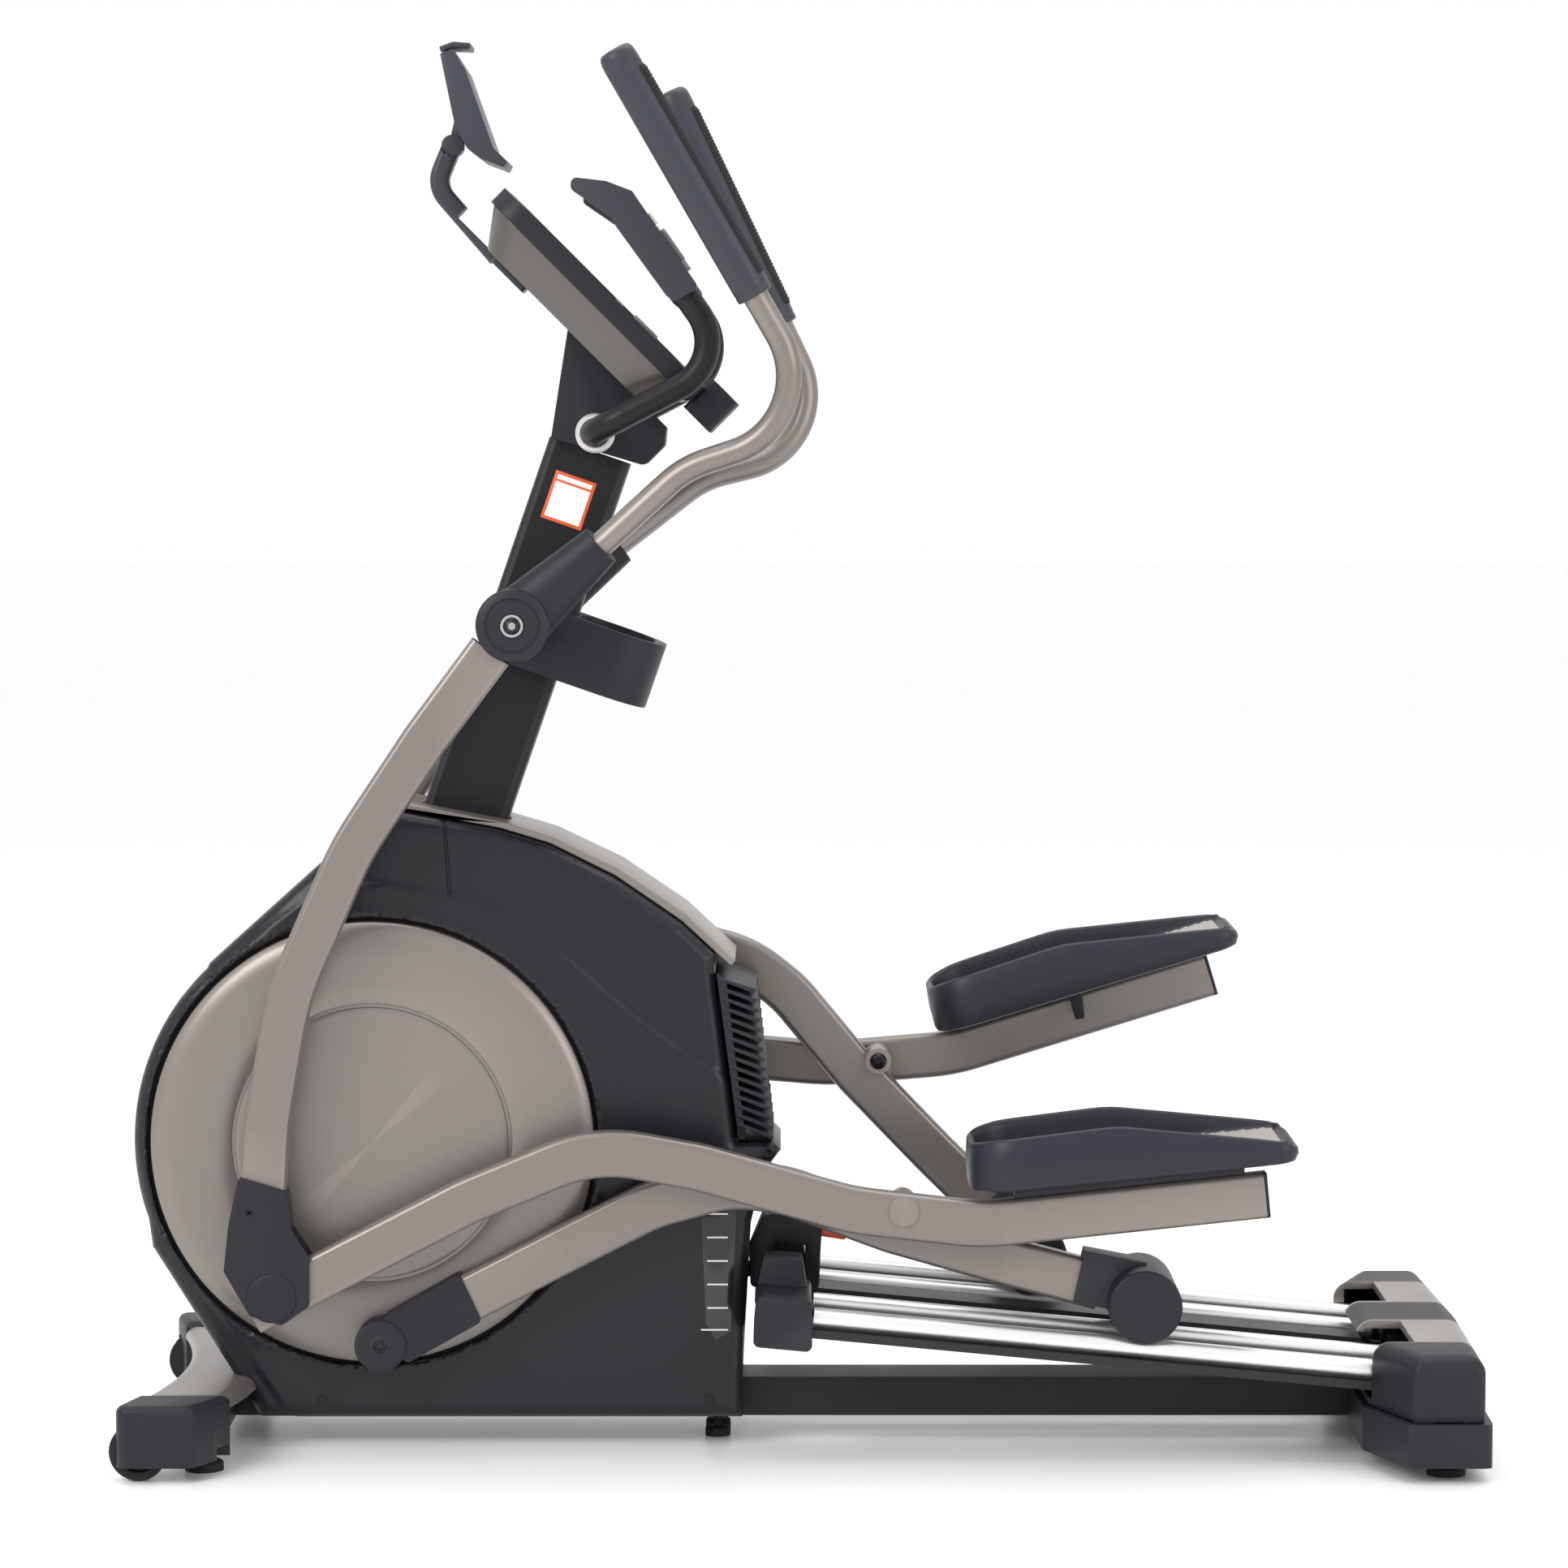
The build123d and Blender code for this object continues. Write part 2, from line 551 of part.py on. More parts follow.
def tablet_jaw():
    """The spring jaw that slides out of the cradle's top."""
    hook = prism(outline(jaw_point(-5, -9), jaw_point(-5, 8), jaw_point(3, 27), jaw_point(-3, 30),
                         jaw_point(-12, 10), jaw_point(-12, -9)), -40, 40)
    return hook + prism(jaw_strip(-6, 72, 5), -15, 15)


# ---------------------------------------------------------------- ramp
def rail_point(x):
    return (x, RAIL_FRONT[1] + RAIL_SLOPE * (x - RAIL_FRONT[0]))


RAIL_ANGLE = math.degrees(math.atan(RAIL_SLOPE))


def on_rails(x0, x1, low, high):
    """A side view of a strip along the rails, between two distances off their axis."""
    (ax, az), (bx, bz) = rail_point(x0), rail_point(x1)
    return outline((ax, az + low), (bx, bz + low), (bx, bz + high), (ax, az + high))


def ramp_frame():
    """Two channels under the rails, a centre beam, cross members and the pivot tube."""
    pan_left = prism(on_rails(2, RAIL_REAR_X, -24, -13.2), -210, -72)
    pan_left -= prism(on_rails(4, RAIL_REAR_X + 5, -22, -15.2), -208, -74)
    pan = pan_left + mirror(pan_left, about=Plane.XZ)
    centre = prism(on_rails(-44, RAIL_REAR_X - 26, -22, 8), -28, 28)
    centre -= prism(on_rails(-50, RAIL_REAR_X, -19, 5), -25, 25)
    head = prism(on_rails(-44, 10, -22, 6), -206, 206) - prism(on_rails(-41, 7, -19, 3), -207, 207)
    cross = prism(on_rails(650, 690, -24, -14), -206, 206)
    pivot = rod(*RAMP_PIVOT, 15, -206, -44) + rod(*RAMP_PIVOT, 15, 44, 206)
    tail = prism(on_rails(700, 768, -24, -13.2), -210, -194) + prism(on_rails(700, 768, -24, -13.2), -88, -72)
    bumper = prism(on_rails(392, 424, -36, -22), -100, -84)
    frame = pan + centre + head + cross + pivot + tail + mirror(tail, about=Plane.XZ)
    frame += bumper + mirror(bumper, about=Plane.XZ)
    return frame - rod(*RAMP_PIVOT, 8.5, -260, 260)


def ramp_rails():
    tubes = []
    for y in (-RAIL_Y[1], -RAIL_Y[0], RAIL_Y[0], RAIL_Y[1]):
        (ax, az), (bx, bz) = rail_point(12), rail_point(RAIL_REAR_X)
        path = Line((ax, y, az), (bx, y, bz))
        tubes.append(sweep_section(Circle(RAIL_RADIUS) - Circle(RAIL_RADIUS - 2.5), path).solid())
    return Compound(children=tubes)


def ramp_head():
    """Moulded end blocks over the front of each rail pair."""
    lower = prism(outline((-64, 150), (10, 143), (10, 208), (-58, 214)), -216, -64)
    upper = prism(outline((-58, 213), (4, 207), (-2, 244), (-50, 247)), -126, -72)
    lower = fillet(lower.edges().filter_by(Axis.Y), 8)
    block = lower + upper
    core = prism(on_rails(-44.5, 11, -22.5, 6.5), -206.5, -60) + prism(on_rails(1, 40, -25, -12.8), -211, -60)
    return both_sides((block - core).solids().sort_by(SortBy.VOLUME)[-1])


def ramp_handle():
    """The lifting grip on the middle of the ramp's front, and its latch arm."""
    grip = prism(outline((-68, 192), (20, 190), (22, 240), (24, 272), (-20, 290), (-52, 284), (-70, 240)), -30, 30)
    grip = fillet(grip.edges().filter_by(Axis.Y), 7)
    opening = prism(outline((-44, 206), (0, 206), (4, 246), (-36, 250)), -40, 40)
    latch = prism(outline((-98, 196), (-60, 204), (-60, 224), (-80, 216), (-98, 208)), -9, 9)
    core = prism(on_rails(-44.5, 60, -30, 8.5), -40, 40)
    return grip - opening + latch - core - prism(outline((6, 252), (60, 244), (60, 275), (6, 280)), -13, 13)


TRIGGER_AXLE = (14.0, 262.5)


def release_trigger():
    """The coloured lever under the lifting grip, on a round knuckle."""
    lever = prism(outline((14, 256), (52, 250), (60, 256), (56, 268), (14, 269)), -12, 12)
    lever = fillet(lever.edges().filter_by(Axis.Y).sort_by(Axis.X)[-3:], 2)
    return lever + rod(*TRIGGER_AXLE, 7, -12, 12)


# ---------------------------------------------------------------- left side: link and rollers
def roller_axle():
    return rod(*ROLLER_AXLE, 8, -206, -76)


def roller_wheels():
    """Two grooved wheels, one on each rail."""
    wheels = []
    for y in RAIL_Y:
        wheel = rod(*ROLLER_AXLE, WHEEL_RADIUS, -y - WHEEL_WIDTH / 2, -y + WHEEL_WIDTH / 2)
        wheels.append((wheel - rod(*ROLLER_AXLE, 8 + RUNNING_GAP, -230, -60)).solid())
    return Compound(children=wheels)


LINK_PATH = [(-500, 158), (-300, 262), (-190, 318), (-90, 345), (-20, 335), (110, 287), (250, 247), (372, 215)]


def link():
    """The long bent tube from the crank pin to the rollers, with the pedal pivot's sleeve on top."""
    tube = box_tube(at_y(-LINK_Y, *LINK_PATH), [200, 200, 160, 160, 200, 200], LINK_WIDTH, 60, 8, 2.5)
    sleeve = rod(*PEDAL_PIVOT, 17, -174, -116) - rod(*PEDAL_PIVOT, 10, -180, -100)
    lug = prism(outline((88, 295), (160, 290), (142, 322), (108, 326)), -LINK_Y - 6, -LINK_Y + 6)
    lug -= rod(*PEDAL_PIVOT, 16.5, -180, -100)
    bore = rod(*ROLLER_AXLE, 8 + RUNNING_GAP, -200, -100)
    nose = rod(*ROLLER_AXLE, 22, -LINK_Y - 14, -LINK_Y + 14)
    bridge = prism(outline((366, 196), (366, 236), (414, 214), (414, 186)), -LINK_Y - 13, -LINK_Y + 13)
    return tube + sleeve + lug + (nose + bridge) - bore


def rail_sector():
    """Where the rails pass below the axle, over every angle that the link can take to them."""
    x, z = ROLLER_AXLE
    edge = [(x + 70 * math.cos(math.radians(a)), z + 70 * math.sin(math.radians(a))) for a in range(-136, -15, 12)]
    return outline((x, z), *edge)


def roller_cover():
    """The round casing over both wheels, open below, with a neck that grips the tube."""
    drum = rod(*ROLLER_AXLE, 46, -213, -69)
    drum = fillet(drum.edges().filter_by(GeomType.CIRCLE), 4)
    neck = prism(outline((338, 198), (352, 262), (430, 247), (420, 180)), -166, -124)
    body = drum + neck
    body -= rod(*ROLLER_AXLE, 42, -209, -73)
    body -= prism(rail_sector(), -208.9, -73.1)
    tube_fill = sweep_section(RectangleRounded(LINK_WIDTH + 1, 61, 8),
                              FilletPolyline(*at_y(-LINK_Y, (240, 250), (372, 215.2), (380, 213)), radius=[200]))
    block = prism(outline((360, 188), (360, 242), (420, 226), (420, 180)), -LINK_Y - 15.5, -LINK_Y + 15.5)
    return (body - tube_fill - block - rod(*ROLLER_AXLE, 24, -162, -128)).solids().sort_by(SortBy.VOLUME)[-1]


def link_collar():
    """The moulded sleeve and round cap over the link's front end."""
    pin = LEFT["pin"]
    collar = outline((-500, 118), (-404, 172), (-432, 232), (-530, 176))
    body = prism(collar, -LINK_Y - 19, -LINK_Y + 17)
    body = fillet(body.edges().filter_by(Axis.Y), 7) + rod(*pin, 32, -LINK_Y - 23, -LINK_Y + 17)
    core = sweep_section(RectangleRounded(LINK_WIDTH + 1, 61, 8),
                         FilletPolyline(*at_y(-LINK_Y, (-501, 157.5), (-300, 262), (-190, 318)), radius=[200]))
    return (body - core).solids().sort_by(SortBy.VOLUME)[-1]


# ---------------------------------------------------------------- left side: pedal arm and pedal
ARM_PATH = [(-690, 190), (-420, 330), (-260, 396), (-130, 372), (60, 318), (220, 300), (574, 338)]


def pedal_arm():
    """The bent tube that carries the pedal, closed by a cap at its rear end."""
    tube = box_tube(at_y(-SWING_Y, *ARM_PATH), [320, 190, 260, 300, 260], SWING_WIDTH, 58, 8, 2.5)
    cap = rod(*PEDAL_PIVOT, 18, -SWING_Y - 18, -SWING_Y - 14)
    boss = rod(*ARM_JOINT, 20, -SWING_Y - 15.4, -SWING_Y + 15.4)
    return tube + cap + boss - rod(*ARM_JOINT, 8 + RUNNING_GAP, -240, -160)


PEDAL_SIDE = [(219, 343), (204, 380), (212, 402), (238, 411), (372, 429), (400, 429), (592, 411), (614, 408),
              (614, 387), (560, 378)]
ARM_TOP = [(150, 321.67), (640, 374.27)]   # the upper face of the arm's rear run


def pedal():
    """A long tray with high sides, on a pad along the arm's rear run."""
    y0, y1 = -PEDAL_Y - PEDAL_WIDTH / 2, -PEDAL_Y + PEDAL_WIDTH / 2
    body = prism(outline(*PEDAL_SIDE), y0, y1)
    ends = body.edges().filter_by(Axis.Y).sort_by(Axis.X)
    body = fillet([ends[0], ends[-1]], 4)
    well = prism(outline((224, 368), (230, 460), (650, 460), (650, 404), (600, 404)), y0 + 11, y1 - 11)
    hollow = prism(outline((240, 351), (240, 364), (590, 397), (590, 388.5), (560, 384)), y0 + 6, y1 - 6)
    pad = prism(outline((262, 331), (548, 362), (548, 381), (262, 350)), -SWING_Y - 12, -SWING_Y + 12)
    arm = prism(outline((640, 300), (150, 250), *ARM_TOP), -SWING_Y - 16, -SWING_Y + 16)
    return body - well - hollow + (pad - arm)


# ---------------------------------------------------------------- left side: swing arm and handlebar
SWING_PATH = [(-388, 1015), (-470, 905), (-560, 770), (-640, 590), (-668, 430), (-676, 300)]


def swing_path():
    return FilletPolyline(*at_y(-SWING_Y, *SWING_PATH), radius=[380, 380, 380, 380])


def solid_swing_tube():
    """The lower arm's outside shape."""
    return sweep_section(RectangleRounded(SWING_WIDTH, 56, 8), swing_path())


def swing_tube():
    """The curved lower arm, from under the hub down to the fork."""
    return solid_swing_tube() - sweep_section(RectangleRounded(SWING_WIDTH - 5, 51, 5.5), swing_path())


def fork_cover():
    """The moulded fork at the arm's foot, round the pedal arm's joint, with its pin and cap."""
    side = outline((-703, 362), (-643, 344), (-638, 296), (-616, 262), (-616, 200), (-650, 176), (-690, 188),
                   (-722, 244), (-716, 300))
    body = prism(side, -SWING_Y - 22, -SWING_Y + 22)
    body = fillet(body.edges().filter_by(Axis.Y), 6)
    body -= prism(outline((-760, 150), (-590, 150), (-590, 330), (-640, 294), (-760, 230)), -SWING_Y - 16.5, -SWING_Y + 16.5)
    body -= solid_swing_tube()
    pin = rod(*ARM_JOINT, 8, -SWING_Y - 21, -SWING_Y + 21)
    return body + pin + rod(*ARM_JOINT, 28, -SWING_Y - 25, -SWING_Y - 20)


def swing_hub():
    """The casting on the cross axle: a round hub with a tapered socket for the handlebar."""
    hub = rod(*SWING_PIVOT, 45, -SWING_Y - 27, -SWING_Y + 27)
    hub = fillet(hub.edges().filter_by(GeomType.CIRCLE), 3)
    start, corner = Vector(*HANDLE_CORNERS[0]), Vector(*HANDLE_CORNERS[1])
    plane = Plane(origin=start, z_dir=corner - start, x_dir=(0, 1, 0))
    socket = loft([plane.offset(-32) * Ellipse(24, 41), plane.offset(108) * Ellipse(21, 27)])
    body = hub + socket - extrude(plane.offset(-0.5) * Circle(HANDLE_RADIUS + 0.1), 140)
    tube = solid_swing_tube()
    body -= tube
    body -= turned(tube, SWING_PIVOT, RIGHT_HANDLE_TURN + RIGHT_SWING_TURN)
    return (body - rod(*SWING_PIVOT, 10 + RUNNING_GAP, -230, -150)).solids().sort_by(SortBy.VOLUME)[-1]


HANDLE_RADIUS = 15.9
HANDLE_CORNERS = [(-329.8, -SWING_Y, 1074.6), (-146.6, -222, 1240.8), (28.2, -252, 1299.1),
                  (-226.6, -HANDLE_TOP_Y, 1738.8)]


def handle_path():
    return FilletPolyline(*HANDLE_CORNERS, radius=[130, 100])


def handlebar():
    return sweep_section(Circle(HANDLE_RADIUS) - Circle(HANDLE_RADIUS - 2.5), handle_path())


def grip():
    """The long moulded grip over the handlebar's upper end."""
    a, b = Vector(*HANDLE_CORNERS[2]), Vector(*HANDLE_CORNERS[3])
    along = (b - a).normalized()
    plane = Plane(origin=b - along * 334, z_dir=along, x_dir=(0, 1, 0))
    body = extrude(plane * Ellipse(21, 23), 342)
    body = fillet(body.edges().sort_by(Axis.Z)[-1:], 5)
    bar = extrude(plane * Circle(HANDLE_RADIUS), 334.5)
    return body - bar


def swing_axle():
    """The cross axle through the mast, its spacer tubes, and the end screws."""
    axle = rod(*SWING_PIVOT, 10, -SWING_Y - 27, SWING_Y + 27) + rod(*SWING_PIVOT, 12 - RUNNING_GAP, -119, 119)
    collar = rod(*SWING_PIVOT, 18, 122, SWING_Y - 29)
    ends = rod(*SWING_PIVOT, 14, SWING_Y + 28, SWING_Y + 33) + rod(*SWING_PIVOT, 10, SWING_Y + 26, SWING_Y + 29)
    return axle + collar + mirror(collar, about=Plane.XZ) + ends + mirror(ends, about=Plane.XZ)


# ---------------------------------------------------------------- what is written
def side_nodes():
    """Every piece of the two sides. Each left piece is carried to where the right side stands."""
    pieces = {}
    link_line = (LEFT["pin"], LEFT["roller"])
    arm_line = (LEFT["joint"], LEFT["pivot"])
    swing_line = (SWING_PIVOT, LEFT["joint"])
    lines = {
        "roller_axle": (roller_axle, link_line, (RIGHT["pin"], RIGHT["roller"])),
        "rollers": (roller_wheels, link_line, (RIGHT["pin"], RIGHT["roller"])),
        "link": (link, link_line, (RIGHT["pin"], RIGHT["roller"])),
        "roller_cover": (roller_cover, link_line, (RIGHT["pin"], RIGHT["roller"])),
        "link_collar": (link_collar, link_line, (RIGHT["pin"], RIGHT["roller"])),
        "pedal_arm": (pedal_arm, arm_line, (RIGHT["joint"], RIGHT["pivot"])),
        "pedal": (pedal, arm_line, (RIGHT["joint"], RIGHT["pivot"])),
        "swing_tube": (swing_tube, swing_line, (SWING_PIVOT, RIGHT["joint"])),
        "fork_cover": (fork_cover, swing_line, (SWING_PIVOT, RIGHT["joint"])),
    }
    for name, (make, start, end) in lines.items():
        shape = make()
        pieces["left_" + name] = shape
        pieces["right_" + name] = carried(shape, start, end)
    for name, make in {"swing_hub": swing_hub, "handlebar": handlebar, "grip": grip}.items():
        shape = make()
        pieces["left_" + name] = shape
        pieces["right_" + name] = turned(mirror(shape, about=Plane.XZ), SWING_PIVOT, -RIGHT_HANDLE_TURN)
    return pieces


def all_nodes():
    shell = housing_shell()
    wheel = transport_wheel()
    key = grip_key()
    grips = pulse_grips()
    pocket = key_pocket()
    nodes = {
        "main_frame": main_frame(), "mast_post": mast_post(), "front_foot_cover": front_foot_cover(),
        "front_end_caps": front_end_caps(), "rear_foot": rear_foot(), "levelling_feet": levelling_feet(),
        "left_transport_wheel": wheel, "right_transport_wheel": mirror(wheel, about=Plane.XZ),
        "left_housing": shell, "right_housing": mirror(shell, about=Plane.XZ),
        "rear_grille": rear_grille(), "top_trim": top_trim(),
        "crankset": crankset(), "left_disc": disc_cover(LEFT["pin"], -1),
        "right_disc": disc_cover(RIGHT["pin"], 1), "drive_pulley": drive_pulley(),
        "flywheel": flywheel(), "drive_belt": drive_belt(),
        "console_back": console_back(), "console_bezel": console_bezel(), "console_face": console_face(),
        "console_neck": console_neck(), "pulse_handlebar": pulse_handlebar(),
        "pulse_grips": Compound(children=[s - pocket - mirror(pocket, about=Plane.XZ) for s in grips.solids()]),
        "left_grip_key": key, "right_grip_key": mirror(key, about=Plane.XZ),
        "accessory_tray": accessory_tray(), "swing_axle": swing_axle(),
        "tablet_arm": tablet_arm(), "tablet_cradle": tablet_cradle(), "tablet_jaw": tablet_jaw(),
        "ramp_frame": ramp_frame(), "ramp_rails": ramp_rails(), "ramp_head": ramp_head(),
        "ramp_handle": ramp_handle(), "release_trigger": release_trigger(),
    }
    nodes.update(side_nodes())
    return nodes


def main():
    os.makedirs("parts", exist_ok=True)
    nodes = all_nodes()
    for name, shape in nodes.items():
        export_step(shape, f"parts/{name}.step")
    print(len(nodes), "nodes written")


if __name__ == "__main__":
    main()
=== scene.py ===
"""The finished look of the elliptical trainer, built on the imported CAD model, in the CAD's own frame.

Lengths are written in millimetres and turned into metres by MM. Only the stage is written in metres.
"""

import json
import math

import bmesh
import bpy
from mathutils import Matrix, Vector
from mathutils.geometry import delaunay_2d_cdt

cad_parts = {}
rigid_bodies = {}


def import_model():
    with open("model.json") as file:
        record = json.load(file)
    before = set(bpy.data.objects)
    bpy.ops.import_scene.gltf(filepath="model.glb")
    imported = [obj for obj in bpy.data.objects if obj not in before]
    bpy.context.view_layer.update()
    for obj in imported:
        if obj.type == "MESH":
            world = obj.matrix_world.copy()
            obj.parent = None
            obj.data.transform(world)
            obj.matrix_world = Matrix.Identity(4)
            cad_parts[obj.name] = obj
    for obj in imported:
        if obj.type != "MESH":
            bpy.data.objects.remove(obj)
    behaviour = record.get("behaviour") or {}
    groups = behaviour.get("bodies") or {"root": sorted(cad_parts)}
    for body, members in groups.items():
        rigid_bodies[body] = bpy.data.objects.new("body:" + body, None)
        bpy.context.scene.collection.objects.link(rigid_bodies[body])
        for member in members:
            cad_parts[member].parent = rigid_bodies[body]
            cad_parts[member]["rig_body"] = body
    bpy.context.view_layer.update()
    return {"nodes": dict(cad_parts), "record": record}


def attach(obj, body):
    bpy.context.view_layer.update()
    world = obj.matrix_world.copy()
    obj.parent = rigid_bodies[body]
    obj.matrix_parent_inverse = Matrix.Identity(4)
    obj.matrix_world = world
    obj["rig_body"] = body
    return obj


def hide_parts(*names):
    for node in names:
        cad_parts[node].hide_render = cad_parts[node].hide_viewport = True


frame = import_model()
NODES = frame["nodes"]
SLOT_OF = {p["node"]: p["material_slot"] for p in frame["record"]["subparts"]}
MM = 0.001

# ---------------------------------------------------------------- the linkage at rest, as (x, z)
CRANK = (-545.0, 391.0)
LEFT_PIN = (-531.9, 141.3)
RIGHT_PIN = (-558.1, 640.7)
LEFT_ROLLER = (425.4, 198.3)
RIGHT_ROLLER = (298.87, 210.17)
LEFT_PIVOT = (124.4, 318.0)
RIGHT_PIVOT = (98.39, 464.6)
LEFT_JOINT = (-662.6, 210.6)
RIGHT_JOINT = (-653.04, 207.2)
SWING = (-359.8, 1047.4)
HANDLE_TURN = 4.5


# ---------------------------------------------------------------- materials
def surface(name, color, metallic=0.0, rough=0.45, grain=900.0, depth=0.1, vary=0.08, rough_vary=0.08,
            wear=0.0, coat=0.0, brushed=None):
    """A paint, plastic or metal: fine grain, a slow drift of tone and gloss, and lighter worn edges."""
    material = bpy.data.materials.new(name)
    material.use_nodes = True
    tree = material.node_tree
    nodes, links = tree.nodes, tree.links
    shader = nodes["Principled BSDF"]
    shader.inputs["Metallic"].default_value = metallic
    shader.inputs["Coat Weight"].default_value = coat
    shader.inputs["Coat Roughness"].default_value = 0.2
    place = nodes.new("ShaderNodeTexCoord")
    slow = nodes.new("ShaderNodeTexNoise")
    slow.inputs["Scale"].default_value = 6.0
    slow.inputs["Detail"].default_value = 4.0
    links.new(place.outputs["Object"], slow.inputs["Vector"])
    fine = nodes.new("ShaderNodeTexNoise")
    fine.inputs["Scale"].default_value = grain
    fine.inputs["Detail"].default_value = 2.0
    source = place.outputs["Object"]
    if brushed:
        stretch = nodes.new("ShaderNodeMapping")
        stretch.inputs["Scale"].default_value = brushed
        links.new(source, stretch.inputs["Vector"])
        source = stretch.outputs["Vector"]
    links.new(source, fine.inputs["Vector"])
    tone = nodes.new("ShaderNodeMix")
    tone.data_type = "RGBA"
    tone.inputs["A"].default_value = (*[c * (1 - vary) for c in color], 1)
    tone.inputs["B"].default_value = (*[min(1.0, c * (1 + vary)) for c in color], 1)
    blend = nodes.new("ShaderNodeMath")
    blend.operation = "MULTIPLY_ADD"
    blend.inputs[1].default_value = 0.5
    links.new(slow.outputs["Fac"], blend.inputs[0])
    half = nodes.new("ShaderNodeMath")
    half.operation = "MULTIPLY"
    half.inputs[1].default_value = 0.5
    links.new(fine.outputs["Fac"], half.inputs[0])
    links.new(half.outputs[0], blend.inputs[2])
    links.new(blend.outputs[0], tone.inputs["Factor"])
    color_out = tone.outputs["Result"]
    if wear:
        geometry = nodes.new("ShaderNodeNewGeometry")
        ramp = nodes.new("ShaderNodeValToRGB")
        ramp.color_ramp.elements[0].position = 0.52
        ramp.color_ramp.elements[1].position = 0.62
        links.new(geometry.outputs["Pointiness"], ramp.inputs["Fac"])
        amount = nodes.new("ShaderNodeMath")
        amount.operation = "MULTIPLY"
        amount.inputs[1].default_value = wear
        links.new(ramp.outputs["Color"], amount.inputs[0])
        worn = nodes.new("ShaderNodeMix")
        worn.data_type = "RGBA"
        worn.inputs["B"].default_value = (*[min(1.0, c * 1.8 + 0.02) for c in color], 1)
        links.new(amount.outputs[0], worn.inputs["Factor"])
        links.new(color_out, worn.inputs["A"])
        color_out = worn.outputs["Result"]
    links.new(color_out, shader.inputs["Base Color"])
    gloss = nodes.new("ShaderNodeMapRange")
    gloss.inputs["To Min"].default_value = max(0.03, rough - rough_vary)
    gloss.inputs["To Max"].default_value = min(1.0, rough + rough_vary)
    links.new(slow.outputs["Fac"], gloss.inputs["Value"])
    links.new(gloss.outputs["Result"], shader.inputs["Roughness"])
    bump = nodes.new("ShaderNodeBump")
    bump.inputs["Strength"].default_value = depth
    bump.inputs["Distance"].default_value = 0.0004
    links.new(fine.outputs["Fac"], bump.inputs["Height"])
    links.new(bump.outputs["Normal"], shader.inputs["Normal"])
    return material


# color, metallic, rough, grain, depth, vary, rough_vary, and then wear, coat and brushed where there are any
LOOKS = {
    "arm_bronze": ((0.198, 0.177, 0.162), 0.55, 0.36, 1500, 0.12, 0.05, 0.05, 0.25, 0.15),
    "silver_plastic": ((0.212, 0.191, 0.176), 0.5, 0.33, 1800, 0.08, 0.04, 0.05, 0.2, 0.1),
    "frame_black": ((0.012, 0.012, 0.015), 0.0, 0.42, 1200, 0.25, 0.15, 0.08, 0.3),
    "mast_grey": ((0.011, 0.011, 0.014), 0.2, 0.4, 1400, 0.2, 0.08, 0.06, 0.3),
    "cover_dark": ((0.014, 0.014, 0.019), 0.0, 0.44, 1100, 0.3, 0.08, 0.07, 0.3),
    "shell_dark": ((0.010, 0.010, 0.014), 0.0, 0.34, 1600, 0.12, 0.08, 0.06, 0.25, 0.1),
    "grip_grey": ((0.036, 0.038, 0.048), 0.0, 0.36, 1300, 0.2, 0.06, 0.06, 0.25),
    "rail_bright": ((0.80, 0.79, 0.80), 0.9, 0.36, 500, 0.06, 0.03, 0.05, 0.0, 0.0, (1, 8, 8)),
    "axle_steel": ((0.42, 0.42, 0.43), 1.0, 0.3, 600, 0.1, 0.08, 0.08, 0.2, 0.0, (1, 12, 1)),
    "roller_grey": ((0.09, 0.09, 0.095), 0.0, 0.5, 900, 0.2, 0.1, 0.08, 0.2),
    "rubber_black": ((0.012, 0.012, 0.013), 0.0, 0.7, 700, 0.5, 0.2, 0.1, 0.2),
    "belt_black": ((0.014, 0.014, 0.014), 0.0, 0.65, 700, 0.4, 0.2, 0.1),
    "iron_dark": ((0.07, 0.07, 0.072), 0.9, 0.4, 300, 0.4, 0.15, 0.1, 0.3),
    "screen_black": ((0.006, 0.006, 0.008), 0.0, 0.12, 900, 0.02, 0.05, 0.04, 0.0, 0.4),
    "trigger_orange": ((0.62, 0.075, 0.012), 0.0, 0.35, 900, 0.1, 0.06, 0.06, 0.1, 0.2),
    "key_grey": ((0.16, 0.16, 0.17), 0.0, 0.5, 900, 0.2, 0.06, 0.06, 0.1),
    "pedal_dark": ((0.018, 0.019, 0.027), 0.0, 0.38, 1300, 0.2, 0.06, 0.06, 0.3),
    "console_tone": ((0.105, 0.094, 0.088), 0.5, 0.36, 1800, 0.1, 0.05, 0.05, 0.2, 0.1),
    "tread_grey": ((0.30, 0.28, 0.265), 0.0, 0.62, 700, 0.5, 0.12, 0.08, 0.2),
    "label_white": ((0.78, 0.77, 0.75), 0.0, 0.45, 900, 0.1, 0.03, 0.05),
    "mark_silver": ((0.62, 0.61, 0.6), 0.6, 0.35, 900, 0.1, 0.05, 0.05),
    "screw_black": ((0.02, 0.02, 0.022), 0.8, 0.32, 900, 0.2, 0.1, 0.08, 0.4),
    # gap_black is near-black and matte: painted shade for the insides of holes, slots and the gap round the
    # discs
    "gap_black": ((0.004, 0.004, 0.004), 0.0, 0.8, 900, 0.1, 0.1, 0.05),
}
MATERIALS = {name: surface(name, *look) for name, look in LOOKS.items()}

# these reflect less than the shader's own default
DULL = ("frame_black", "mast_grey", "cover_dark", "shell_dark", "grip_grey", "pedal_dark", "rubber_black")
DULL_SPECULAR = 0.25
for name in DULL:
    dull_shader = MATERIALS[name].node_tree.nodes["Principled BSDF"]
    dull_shader.inputs["Specular IOR Level"].default_value = DULL_SPECULAR


